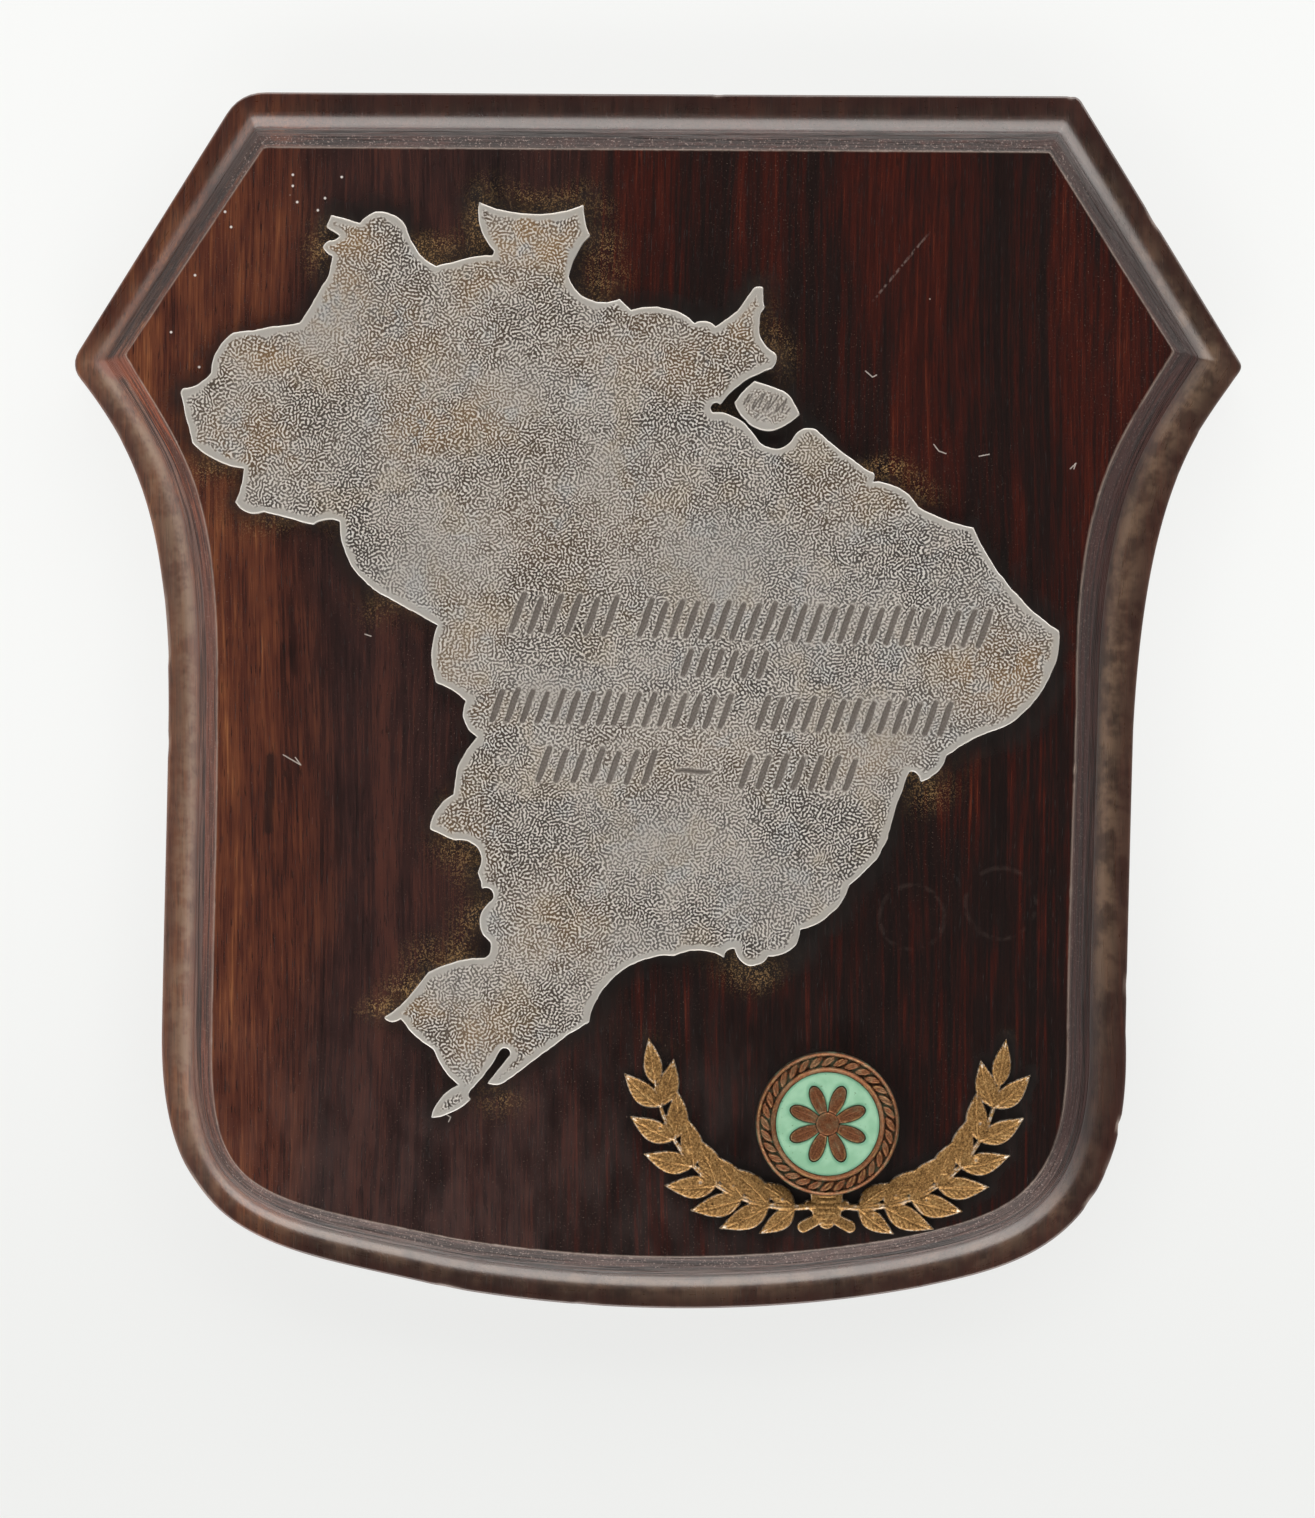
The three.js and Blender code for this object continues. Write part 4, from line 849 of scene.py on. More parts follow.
def spray_fields():
    """Signed distance and height of the spray on a grid."""
    step = 0.2
    xs = axis(SPRAY_C[0] - 42, SPRAY_C[0] + 42, step)
    zs = axis(SPRAY_C[1] - 24, SPRAY_C[1] + 19, step)
    X, Z = np.meshgrid(xs, zs, indexing="ij")
    F, H = np.full(X.shape, 1e3), np.zeros(X.shape)

    def lay(d, h, roll=0.32, drop=0.34):
        nonlocal F, H
        inside = d < 0
        h = h - drop * (1 - smooth(0, roll, -d)) ** 1.5
        H = np.where(inside, np.maximum(H, h), H)
        F = np.minimum(F, d)

    cx, cz = SPRAY_C
    R = np.hypot(X - cx, Z - cz)
    lay(R - 13.0, np.full(X.shape, 1.55))

    def bar(a, b, w0, w1, h0, h1, crown=0.25):
        a, b = np.array(a, float), np.array(b, float)
        d = b - a
        t = np.clip(((X - a[0]) * d[0] + (Z - a[1]) * d[1]) / (d @ d), 0, 1)
        q = np.hypot(X - a[0] - t * d[0], Z - a[1] - t * d[1])
        w = lerp(w0, w1, t) / 2
        lay(q - w, lerp(h0, h1, t) - crown * np.clip(q / w, 0, 1) ** 2, 0.25, 0.25)

    # ribbon: two tails under the knot, with a fold line along each
    for s in (-1, 1):
        bar((cx + s * 3.6, cz - 16.2), (cx - s * 4.6, cz - 20.6), 1.9, 2.5, 1.25, 1.05, 0.15)
    bar((cx, cz - 8), (cx, cz - 17.0), 7.2, 6.2, 1.5, 1.45, 0.3)
    for side in (-1, 1):
        p0, p1, p2, p3 = (2.6, -16.4), (14.0, -18.4), (31.5, -12.5), (34.2, 9.0)

        def at(t):
            p = bezier(p0, p1, p2, p3, t)
            return np.stack([cx + side * p[..., 0], cz + p[..., 1]], -1)

        def heading(t):
            a, b = at(max(0, t - 0.02)), at(min(1, t + 0.02))
            return math.atan2(b[1] - a[1], b[0] - a[0])

        leaves = []
        for i in range(7):
            t = lerp(0.1, 0.9, i / 6)
            size = lerp(0.94, 0.8, t) * (0.8 if i == 0 else 1)
            for s in (-1, 1):
                leaves.append((at(t), heading(t) + s * math.radians(lerp(35, 31, t)), 12.2 * size, 5.8 * size, s))
        leaves.append((at(0.97), heading(0.98), 12.2 * 0.8, 5.8 * 0.7, 0))
        for root, angle, length, width, s in leaves:
            ca, sa = math.cos(angle), math.sin(angle)
            u = (X - root[0]) * ca + (Z - root[1]) * sa
            v = -(X - root[0]) * sa + (Z - root[1]) * ca
            v = v - 0.35 * s * np.sin(np.pi * np.clip(u / length, 0, 1))     # slight sickle
            t = np.clip(u / length, 0.0, 1.0)
            w = width / 2 * np.sin(np.pi * np.maximum(t, 1e-6) ** 0.8) * (1 - 0.15 * t)
            over = np.maximum(np.maximum(-u, u - length), 0)
            q = np.abs(v) - w
            d = np.where(over > 0, np.hypot(over, np.maximum(q, 0)), q * 0.88)
            m = np.clip(np.abs(v) / np.maximum(w, 0.05), 0, 1)
            h = lerp(lerp(0.95, 0.85, t), lerp(1.56, 1.18, t), (1 - m) ** 0.8)
            vein = (u - np.abs(v) * 1.25) / 1.25
            vein = np.abs(vein - np.round(vein)) * 1.25
            h = h - 0.13 * np.exp(-(vein / 0.17) ** 2) * smooth(0.05, 0.3, m) * smooth(0.98, 0.75, m)
            h = h - 0.24 * np.exp(-((np.abs(v) - 0.26) / 0.13) ** 2) * smooth(1.0, 0.85, t)   # midrib
            lay(d, h)
        path = at(np.linspace(0, 1, 40))
        for k in range(39):
            a, b = path[k], path[k + 1]
            bar(a, b, lerp(1.5, 0.8, k / 39), lerp(1.5, 0.8, (k + 1) / 39), lerp(1.52, 1.15, k / 39), lerp(1.52, 1.15, (k + 1) / 39), 0.4)
        # small berries in the leaf axils
        for i in range(6):
            t = lerp(0.17, 0.83, i / 5)
            p, a = at(t), heading(t)
            o = 1.55 * (1 if i % 2 else -1)
            c = (p[0] - math.sin(a) * o, p[1] + math.cos(a) * o)
            q = np.hypot(X - c[0], Z - c[1])
            lay(q - 0.78, 0.85 + 0.68 * np.sqrt(np.clip(1 - (q / 0.82) ** 2, 0, 1)), 0.2, 0.2)
    # the knot
    bar((cx, cz - 14.4), (cx, cz - 19.4), 3.2, 3.4, 1.58, 1.55, 0.35)
    fold = np.abs((Z - cz + 17) - np.round((Z - cz + 17) / 1.1) * 1.1)
    knot = (np.abs(X - cx) < 1.7) & (Z < cz - 14.2) & (F < 0)
    H = np.where(knot, H - 0.16 * np.exp(-(fold / 0.16) ** 2), H)
    H = np.clip(H, 0.35, 1.58)
    return F, H, xs, zs, X, Z


def cavity(H, F, scale):
    """How far each point of a height grid lies in a hollow, and on a ridge, 0..1."""
    inside = F < 0.1
    fill = np.where(inside, H, 0)
    weight = blur(inside.astype(float), 5)
    mean = np.where(weight > 0.02, blur(fill, 5) / np.maximum(weight, 0.02), H)
    c = blur(H - mean, 1) / scale
    return np.clip(-c, 0, 1), np.clip(c, 0, 1)


# ------------------------------------------------------------------ the pieces

wood, metal_map, metal_island = mahogany(), etched("etched_metal"), etched("etched_metal_island", 1.1)

coast = arc_ring(COAST)
isle = arc_ring(ISLAND, 0.2)

MAP_F, mxs, mzs, MX, MZ = signed_grid(coast, 0.25)
slot_pts = np.array([(-30.2, -70.1), (-32.0, -72.6), (-36.6, -78.4)])
slot = stroke_distance(MX, MZ, slot_pts, [1.05, 0.78, 0.95])
MAP_F = np.maximum(MAP_F, -slot)
MAP_F = MAP_F + 0.07 * field(MX, MZ, 1.0, 11) + 0.17 * field(MX, MZ, 3.0, 12)

ROWS = [
    (-29.4, 13.5, [(-29.4, -11.0, 7.3, 3.7), (-4.0, 63.0, 7.0, 3.05)], None),
    (4.7, 5.1, [(4.7, 19.5, 5.0, 2.95)], None),
    (-33.1, -4.1, [(-33.1, 12.0, 6.2, 3.0), (19.4, 55.5, 6.2, 3.0)], None),
    (-23.9, -15.9, [(-23.9, -3.0, 6.3, 3.5), (16.2, 36.8, 6.3, 3.45)], (3.6, 10.0)),
]


def stroke_plan():
    """Rows of plain leaning strokes, each tapered at its ends."""
    fall, lean = math.tan(math.radians(1.6)), math.tan(math.radians(20))
    plan = []
    for x0, z0, runs, dash in ROWS:
        foot = lambda x: z0 - (x - x0) * fall
        for start, end, height, pitch in runs:
            count = round((end - start) / pitch)
            for i in range(count + 1):
                x = lerp(start, end, i / count)
                h = height * (0.96 + 0.05 * math.sin(2.3 * i + start))
                t = np.linspace(0, 1, 9)
                bow = 0.05 * math.sin(1.7 * i + z0) * np.sin(np.pi * t) + 0.05 * np.sin(2 * np.pi * t)
                pts = np.stack([x + h * lean * t + bow, foot(x) + h * t], 1)
                radii = 0.55 * (0.55 + 0.47 * np.sin(np.pi * (0.14 + 0.72 * t)) ** 0.8)
                plan.append((pts, radii))
        if dash:
            t = np.linspace(0, 1, 7)
            pts = np.stack([lerp(dash[0], dash[1], t), foot(lerp(dash[0], dash[1], t)) + 2.7 + 0.12 * np.sin(2 * np.pi * t)], 1)
            plan.append((pts, 0.46 * (0.6 + 0.4 * np.sin(np.pi * t))))
    return plan


def cut_grid(plan, xs, zs):
    X, Z = np.meshgrid(xs, zs, indexing="ij")
    C = np.full(X.shape, 3.0)
    for pts, radii in plan:
        lo, hi = pts.min(0) - 3.2, pts.max(0) + 3.2
        i0, i1 = np.searchsorted(xs, (lo[0], hi[0]))
        j0, j1 = np.searchsorted(zs, (lo[1], hi[1]))
        w = np.s_[i0:i1, j0:j1]
        C[w] = np.minimum(C[w], stroke_distance(X[w], Z[w], pts, radii))
    return C


cxs, czs = axis(-38, 70, 0.2), axis(-22, 26, 0.2)
CUT = cut_grid(stroke_plan(), cxs, czs)


def cut_at(x, z):
    out = sample(CUT, cxs, czs, x, z)
    off = (x < cxs[0]) | (x > cxs[-1]) | (z < czs[0]) | (z > czs[-1])
    return np.where(off, 3.0, np.minimum(out, 3.0))


# places where the etching is fainter, and where it is stained: x, z, rx, rz, strength
CALM = [(12.1, 25.7, 17, 9, 0.9), (-19.6, 1.9, 11, 8, 0.75), (-45.3, 27.7, 9, 8, 0.8), (43.7, -6.0, 15, 10, 0.85),
        (-1.8, -25.7, 14, 9, 0.8), (-66.0, 77.1, 9, 6, 0.7), (30.0, 14.0, 14, 8, 0.55), (-30.0, 62.0, 12, 6, 0.4),
        (-5.0, -50.0, 10, 5, 0.5), (22.0, -38.0, 9, 7, 0.6), (-60.0, 50.0, 8, 6, 0.3), (5.0, 8.5, 8, 5, 0.5),
        (60.0, 18.0, 8, 9, 0.4), (-12.0, 45.0, 10, 7, 0.35), (-38.0, -62.0, 6, 5, 0.35)]
STAIN = [(-61, 91, 9, 6, 0.9), (-64, 80, 6, 9, 0.8), (-79, 69, 12, 6, 0.8), (-25, 93, 13, 7, 0.95), (-35, 81, 12, 6, 0.6),
         (67, 6, 10, 7, 0.8), (44, -10, 9, 5, 0.6), (-43, 55, 14, 8, 0.7), (-80, 50, 12, 9, 0.6), (-52, 70, 22, 12, 0.45),
         (-35, -67, 9, 9, 0.75), (-48, -62, 9, 5, 0.7), (-20, 35, 26, 18, 0.30), (16, 74, 8, 8, 0.7), (-38, 8, 8, 14, 0.5),
         (40, 42, 12, 8, 0.45), (0, 70, 22, 7, 0.5), (-20, -45, 14, 12, 0.4), (10, -10, 22, 8, 0.3), (-38, -25, 6, 12, 0.5)]


def spots(x, z, table, seed):
    wob_x, wob_z = x + 5 * field(x, z, 9, seed), z + 5 * field(x, z, 9, seed + 1)
    total = np.zeros(np.shape(x))
    for cx, cz, rx, rz, k in table:
        total = np.maximum(total, k * np.exp(-((wob_x - cx) / rx) ** 2 - ((wob_z - cz) / rz) ** 2))
    return np.clip(total, 0, 1)


def map_height(x, z):
    d = -sample(MAP_F, mxs, mzs, x, z)
    cut = cut_at(x, z)
    calm = spots(x, z, CALM, 21)
    h = PLATE_T - 0.15 * (1 - smooth(-0.02, 0.30, d)) ** 1.3
    bite = smooth(0.9, 2.2, d) * (1 - 0.75 * calm) * smooth(-0.1, 0.35, cut)
    h = h - bite * (0.05 + 0.045 * field(x, z, 0.95, 31) + 0.02 * field(x, z, 2.4, 32))
    h = h - 0.02 * (1 + field(x, z, 14, 33))
    return h - 0.25 * smooth(0.06, -0.20, cut)


lines = [contour(CUT, cxs, czs, v) for v in (0.12, -0.03, -0.20)]
grid = hexes((-97, -86), (81, 100), 0.53, 5)
grid = grid[np.abs(cut_at(grid[:, 0], grid[:, 1]) + 0.05) > 0.32]
map_plate = relief(
    "map_plate_etched", MAP_F, mxs, mzs, [-0.16, -0.36, -0.75], lines, grid, map_height, 0.0,
    {"edge": lambda x, z: np.clip(-sample(MAP_F, mxs, mzs, x, z), 0, 9),
     "calm": lambda x, z: spots(x, z, CALM, 21),
     "stain": lambda x, z: spots(x, z, STAIN, 23),
     "cut": cut_at}, metal_map, clear=0.25, sharp=40)
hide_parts("map_plate")

# island plate, with a dozen fine scribed lines in its middle
ISLE_F, ixs, izs, IX, IZ = signed_grid(isle, 0.12)
ISLE_F = ISLE_F + 0.04 * field(IX, IZ, 0.8, 14)
scribes = []
for k in range(12):
    s = (k - 5.5) / 5.5
    c = np.array([21.1 + 4.1 * s, 58.6 - 0.9 * s + 0.5 * math.sin(2.1 * k)])
    half = (1.5 + 0.5 * math.cos(1.9 * k)) * (1 - 0.45 * s * s)
    d = np.array([math.cos(math.radians(62 + 9 * math.sin(3.3 * k))), math.sin(math.radians(62 + 9 * math.sin(3.3 * k)))])
    t = np.linspace(-1, 1, 5)[:, None]
    scribes.append((c + d * half * t, np.full(5, 0.11)))
ICUT = cut_grid(scribes, ixs, izs)


def isle_cut(x, z):
    return np.minimum(sample(ICUT, ixs, izs, x, z), 3.0)


def isle_height(x, z):
    d = -sample(ISLE_F, ixs, izs, x, z)
    h = PLATE_T - 0.15 * (1 - smooth(-0.02, 0.30, d)) ** 1.3
    h = h - smooth(0.6, 1.3, d) * (0.04 + 0.04 * field(x, z, 0.8, 41))
    return h - 0.02 - 0.10 * smooth(0.08, -0.06, isle_cut(x, z))


island = relief(
    "island_plate_scribed", ISLE_F, ixs, izs, [-0.14, -0.34], [], hexes((13, 52), (29, 65), 0.16, 6), isle_height, 0.0,
    {"edge": lambda x, z: np.clip(-sample(ISLE_F, ixs, izs, x, z), 0, 9),
     "calm": lambda x, z: 0.45 + 0 * x,
     "stain": lambda x, z: 0.25 + 0 * x,
     "cut": lambda x, z: isle_cut(x, z) + 0.03}, metal_island, clear=0.05, sharp=40)
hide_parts("island_plate")

# laurel spray
SPRAY_F, SPRAY_H, sxs, szs, SX, SZ = spray_fields()
hollow_s, ridge_s = cavity(SPRAY_H, SPRAY_F, 0.20)
rounding = np.clip(smooth(-0.75, -0.05, SPRAY_F), 0, 1)
ridge_s = np.maximum(ridge_s, 0.5 * rounding * (SPRAY_F < 0.3))
spray = relief(
    "laurel_spray_gilt", SPRAY_F, sxs, szs, [-0.13, -0.30], [], hexes((SPRAY_C[0] - 42, SPRAY_C[1] - 24), (SPRAY_C[0] + 42, SPRAY_C[1] + 19), 0.2, 7),
    lambda x, z: sample(SPRAY_H, sxs, szs, x, z), 0.0,
    {"hollow": lambda x, z: sample(hollow_s, sxs, szs, x, z),
     "ridge": lambda x, z: sample(ridge_s, sxs, szs, x, z)}, gilt(), clear=0.06, sharp=50)
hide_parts("laurel_spray")


# medallion: turned rim with a ring of beads, recessed ground and a raised rosette
def rosette_distance(x, z):
    x, z = np.asarray(x) - SPRAY_C[0], np.asarray(z) - SPRAY_C[1]
    best = np.hypot(x, z) - 2.4
    for k in range(PETALS):
        a = 2 * math.pi * k / PETALS + math.pi / PETALS
        u = x * math.cos(a) + z * math.sin(a) - 4.6
        v = -x * math.sin(a) + z * math.cos(a)
        r = np.hypot(u / 3.4, v / (1.35 * (1 + 0.25 * np.clip(u / 3.4, -1, 1))))
        best = np.minimum(best, (r - 1) * 1.5)
    return best


MEDAL = np.array([(0, 1.6), (10.24, 1.6), (10.32, 2.12), (10.7, 2.24), (11.0, 2.48), (11.2, 2.48), (11.35, 1.98), (13.35, 1.98),
                  (13.5, 2.46), (13.75, 2.42), (14.0, 2.15), (14.2, 1.7)])
LOBES = 32


def medal_height(x, z):
    dx, dz = np.asarray(x) - SPRAY_C[0], np.asarray(z) - SPRAY_C[1]
    r = np.hypot(dx, dz)
    h = np.interp(r, MEDAL[:, 0], MEDAL[:, 1])
    a = np.arctan2(dz, dx) * LOBES / (2 * math.pi) + 0.35 * (r - 12.35)
    off = (a - np.round(a)) * 2 * math.pi / LOBES * 12.35
    q = np.hypot(off / 0.98, (r - 12.35) / 1.08)
    lobe = 2.02 + 0.52 * np.sqrt(np.clip(1 - q * q, 0, 1)) - 0.16 * np.exp(-(off / 0.16) ** 2) * smooth(1.0, 0.75, q)
    h = np.maximum(h, np.where(q < 1, lobe, 0))
    d = rosette_distance(x, z)
    t = smooth(0.0, -0.10, d)
    crown = 2.26 + 0.12 * smooth(0.0, -0.9, d)
    k = np.arctan2(dz, dx) * PETALS / (2 * math.pi) - 0.5
    rib = np.abs(k - np.round(k)) * 2 * math.pi / PETALS * r
    crown = crown - 0.13 * np.exp(-(rib / 0.16) ** 2) * smooth(2.6, 3.2, r) * smooth(8.0, 7.0, r)
    crown = np.where(r < 2.4, 2.12 + 0.27 * np.sqrt(np.clip(1 - (r / 2.3) ** 2, 0, 1)), crown)
    crown = crown - 0.10 * np.exp(-((r - 2.35) / 0.15) ** 2)
    h = np.where(r < 10.0, lerp(1.6, crown, t), h)
    return np.minimum(h + 0.015 * field(x, z, 0.7, 51), MEDAL_T)


gxs, gzs = axis(SPRAY_C[0] - 15, SPRAY_C[0] + 15, 0.12), axis(SPRAY_C[1] - 15, SPRAY_C[1] + 15, 0.12)
GX, GZ = np.meshgrid(gxs, gzs, indexing="ij")
MED_F = np.hypot(GX - SPRAY_C[0], GZ - SPRAY_C[1]) - MEDAL_R
MED_H = medal_height(GX, GZ)
ROS = rosette_distance(GX, GZ)
hollow_m, ridge_m = cavity(MED_H, MED_F, 0.22)
rings = [contour(MED_F + MEDAL_R, gxs, gzs, v) for v in (10.24, 10.32, 11.2, 11.35, 13.35, 13.5)]
grid = hexes((SPRAY_C[0] - 14.4, SPRAY_C[1] - 14.4), (SPRAY_C[0] + 14.4, SPRAY_C[1] + 14.4), 0.17, 8)
gr = np.hypot(grid[:, 0] - SPRAY_C[0], grid[:, 1] - SPRAY_C[1])
gd = rosette_distance(grid[:, 0], grid[:, 1])
grid = grid[(np.abs(gr - 10.28) > 0.1) & (np.abs(gr - 11.27) > 0.13) & (np.abs(gr - 13.42) > 0.13) & (np.abs(gd + 0.05) > 0.12)]
petals = [contour(ROS, gxs, gzs, v) for v in (0.0, -0.10)]
medal = relief(
    "medallion_copper", MED_F, gxs, gzs, [-0.12], rings + petals, grid, medal_height, SPRAY_T,
    {"hollow": lambda x, z: sample(hollow_m, gxs, gzs, x, z),
     "ridge": lambda x, z: sample(ridge_m, gxs, gzs, x, z)}, copper(), clear=0.06, sharp=45)
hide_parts("medallion")

# enamel: fills the ground round the rosette, drawn up a little at its edges
ENA_F = np.maximum(MED_F + MEDAL_R - 10.18, -(ROS - 0.05))
ENA_D = blur(np.maximum(ENA_F, -2.0), 1)


def enamel_height(x, z):
    d = -sample(ENA_D, gxs, gzs, x, z)
    return 0.60 - 0.16 * smooth(0.55, 0.0, d) - 0.035 * smooth(0.2, 1.6, d) + 0.008 * field(x, z, 1.8, 61)


egrid = hexes((SPRAY_C[0] - 10.5, SPRAY_C[1] - 10.5), (SPRAY_C[0] + 10.5, SPRAY_C[1] + 10.5), 0.24, 9)
enamel_fill = relief(
    "medallion_enamel_mint", ENA_F, gxs, gzs, [-0.12], [], egrid, enamel_height, SPRAY_T + 1.6,
    {"rim": lambda x, z: np.clip(-sample(ENA_F, gxs, gzs, x, z), 0, 3)}, enamel(), clear=0.08, sharp=50)
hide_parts("medallion_enamel")


# ---------------------------------------------------------------- the shield

def shield():
    edge, panel = shield_ring(OUTLINE), shield_ring(between(1.0, 1.0))
    n = len(edge)
    step = np.hypot(*(np.roll(edge, -1, 0) - edge).T)
    s = np.concatenate([[0], np.cumsum(step)[:-1]])
    W = 11.0
    # w across the moulding from the outline, depth below the panel face
    profile = [(0.0, 8.1), (0.05, 7.86), (0.18, 7.66), (0.36, 7.54), (0.62, 7.5), (0.9, 7.49), (1.7, 7.48), (2.4, 7.46)]
    for k in range(14):                                              # flange, then a cove that rises ever faster
        t = k / 13
        profile.append((lerp(3.0, 6.85, t), 7.42 - 2.2 * t * t))
    profile += [(7.02, 4.60), (7.15, 4.54), (7.34, 3.98), (7.47, 3.93), (7.64, 3.40), (7.76, 3.36), (7.94, 2.85), (8.05, 2.81),
                (8.24, 2.30), (8.36, 2.27), (8.5, 2.02), (8.8, 1.88), (9.2, 1.66), (9.6, 1.42), (10.0, 1.16), (10.4, 0.86),
                (10.72, 0.58), (10.84, 0.48), (10.95, 0.10), (11.0, 0.0), (11.22, 0.0)]
    nick = smooth(0.52, 0.95, field(s, 0 * s, 3.2, 71)) * smooth(0.0, 0.6, field(s, 3 + 0 * s, 40, 72))
    bruise = smooth(0.60, 0.95, field(s, 0 * s, 9.0, 73))
    chips = smooth(0.30, 0.95, field(s, 0 * s, 1.1, 74)) * (0.30 + 0.70 * smooth(0.0, 0.7, field(s, 9 + 0 * s, 22, 75)))
    sway = 0.10 * field(s, 0 * s, 36, 76)
    co, across, worn = [], [], []
    inset = edge + 0

    def ring(points, y):
        co.append(np.stack([points[:, 0], np.broadcast_to(y, (n,)), points[:, 1]], 1))

    # back face and the square edge of the board
    d = np.roll(edge, -1, 0) - np.roll(edge, 1, 0)
    d = d / np.hypot(*d.T)[:, None]
    inward = np.stack([d[:, 1], -d[:, 0]], 1)
    inset = edge + inward * 0.8
    for pts, y in ((inset, 0.0), (edge + inward * 0.23, -0.23), (edge, -0.8), (edge, -4.2), (edge, -7.6)):
        ring(pts, y)
        across.append(np.full(n, -1.0))
        worn.append(np.zeros(n))
    for w, depth in profile:
        f = np.full(n, w / W)
        dep = np.full(n, depth)
        low = w < 0.7
        if low:                                                      # knocks along the outer lip
            k = 1 - w / 0.7
            f = f + (0.030 * nick + 0.018 * bruise) * k
            dep = dep + (0.42 * nick + 0.20 * bruise) * (0.35 + 0.65 * k)
        elif w < 10.9:
            f = f + sway / W * smooth(0.8, 6.0, w) * smooth(11.0, 10.2, w)
        if 0.6 < w < 7.0:
            dep = dep + 0.03 * field(s, w + 0 * s, 6, 77) * smooth(7.0, 5.0, w)
        if 8.5 < w < 10.83:                                          # rough band
            dep = dep + 0.075 * field(s, 40 * w + 0 * s, 0.85, 78) + 0.05 * field(s, 7 * w + 0 * s, 2.6, 79)
        if w > 10.83:                                                # chipped arris
            f = f + chips * 0.13 / W * smooth(10.8, 11.0, w)
            dep = dep + chips * 0.10 * smooth(11.05, 10.9, w)
        own = shield_ring(between(w / W, min(1.0, w / 2.6)))
        ring(own + (panel - edge) * (f - w / W)[:, None], -(BOARD_T - dep))
        across.append(np.full(n, w))
        a = np.zeros(n)
        if w > 11.1:
            pass
        elif w > 10.8:
            a = 0.55 + 0.45 * smooth(0.0, 0.5, chips)
        elif w > 10.7:
            a = 0.15 + 0.35 * smooth(0.0, 0.5, chips)
        elif w < 0.7:
            a = 0.85 * np.maximum(nick, 0.6 * bruise)
        worn.append(a)
    count = len(co)
    faces = []
    j = np.arange(n)
    for i in range(count - 1):
        a, b = i * n + j, i * n + (j + 1) % n
        faces += [np.stack([a, a + n, b + n], 1), np.stack([a, b + n, b], 1)]
    # back
    flat = bowed(inset)
    _, back = cdt(flat, np.stack([j, (j + 1) % n], 1))
    back = back[odd_even(flat[back].mean(1), flat, np.roll(flat, -1, 0))]
    faces.append(back[:, ::-1])
    # panel face
    top = co[-1][:, [0, 2]]
    grid = hexes(top.min(0), top.max(0), 1.45, 10)
    grid = grid[odd_even(grid, top, np.roll(top, -1, 0))]
    dist = ring_distance(grid, top)
    grid, dist = grid[dist > 0.6], dist[dist > 0.6]
    flat = bowed(np.vstack([top, grid]))
    _, cap = cdt(flat, np.stack([j, (j + 1) % n], 1))
    on_ring = (cap < n).all(1)
    keep = ~on_ring
    keep[on_ring] = odd_even(flat[cap[on_ring]].mean(1), flat[:n], np.roll(flat[:n], -1, 0))
    base = (count - 1) * n
    faces.append(cap[keep] + base)
    y = -(BOARD_T - 0.03 * (1 + field(grid[:, 0], grid[:, 1], 24, 81)) * smooth(0.5, 6, dist))
    co.append(np.stack([grid[:, 0], y, grid[:, 1]], 1))
    across.append(11.22 + np.clip(dist, 0, 30))
    worn.append(np.zeros(len(grid)))
    co = np.clip(np.vstack(co), np.array(CAD_BOX[0]) / MM, np.array(CAD_BOX[1]) / MM)
    flat = co[:, [0, 2]]
    near = np.abs(co[:, 1] + BOARD_T) < 0.3
    # halo: distance from the metal pieces, which sets where the soot and the painted contact shadow lie
    halo = np.full(len(co), 12.0)
    p = flat[near]
    d = np.minimum(ring_distance(p, coast), ring_distance(p, isle))
    inside = odd_even(p, coast, np.roll(coast, -1, 0)) | odd_even(p, isle, np.roll(isle, -1, 0))
    d = np.where(inside, 0, d)
    f = sample(SPRAY_F, sxs, szs, p[:, 0], p[:, 1])
    box = (p[:, 0] > sxs[0]) & (p[:, 0] < sxs[-1]) & (p[:, 1] > szs[0]) & (p[:, 1] < szs[-1])
    f = np.where(box, 1.2 + np.maximum(f, 0) * 1.9, 12)
    halo[near] = np.clip(np.minimum(d, f), 0, 12)
    spread = [(-49, 83, 7, 6, 1.0), (-46, 88, 6, 4, 0.9), (-35, 90, 4, 5, 0.8), (-38, 95, 3, 5, 0.7), (-13, 88, 4, 7, 0.8),
              (-45, -57, 9, 4, 1.0), (-56, -62, 5, 4, 0.8), (-37, -45, 4, 5, 0.7), (-39, -30, 4, 6, 0.6), (11, 57, 4, 3, 0.6),
              (47, 41, 6, 4, 0.5), (52, -16, 6, 5, 0.6), (16, -52, 6, 3, 0.7), (-88, 44, 7, 5, 0.6), (-75, 35, 9, 3, 0.5),
              (-52, 18, 6, 5, 0.5), (-68, 91, 4, 4, 0.7), (36, -66, 26, 3, 0.35), (-30, -80, 5, 4, 0.6), (24, 72, 3, 9, 0.5),
              (42, 43, 4, 3, 1.0), (-42, -50, 5, 9, 0.8), (-50, -48, 6, 6, 0.5), (-6, 92, 7, 4, 0.5), (-22, 101, 12, 3, 0.6)]
    res = spots(flat[:, 0], flat[:, 1], spread, 83) * smooth(9.5, 1.0, halo)
    ob = make("shield_board_mahogany", co, np.vstack(faces),
              {"across": np.concatenate(across), "halo": halo, "residue": res, "worn": np.concatenate(worn)}, wood, 32)
    print("shield triangles", len(ob.data.polygons))
    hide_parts("shield_board")


shield()


# ------------------------------------------------------------- stage and light

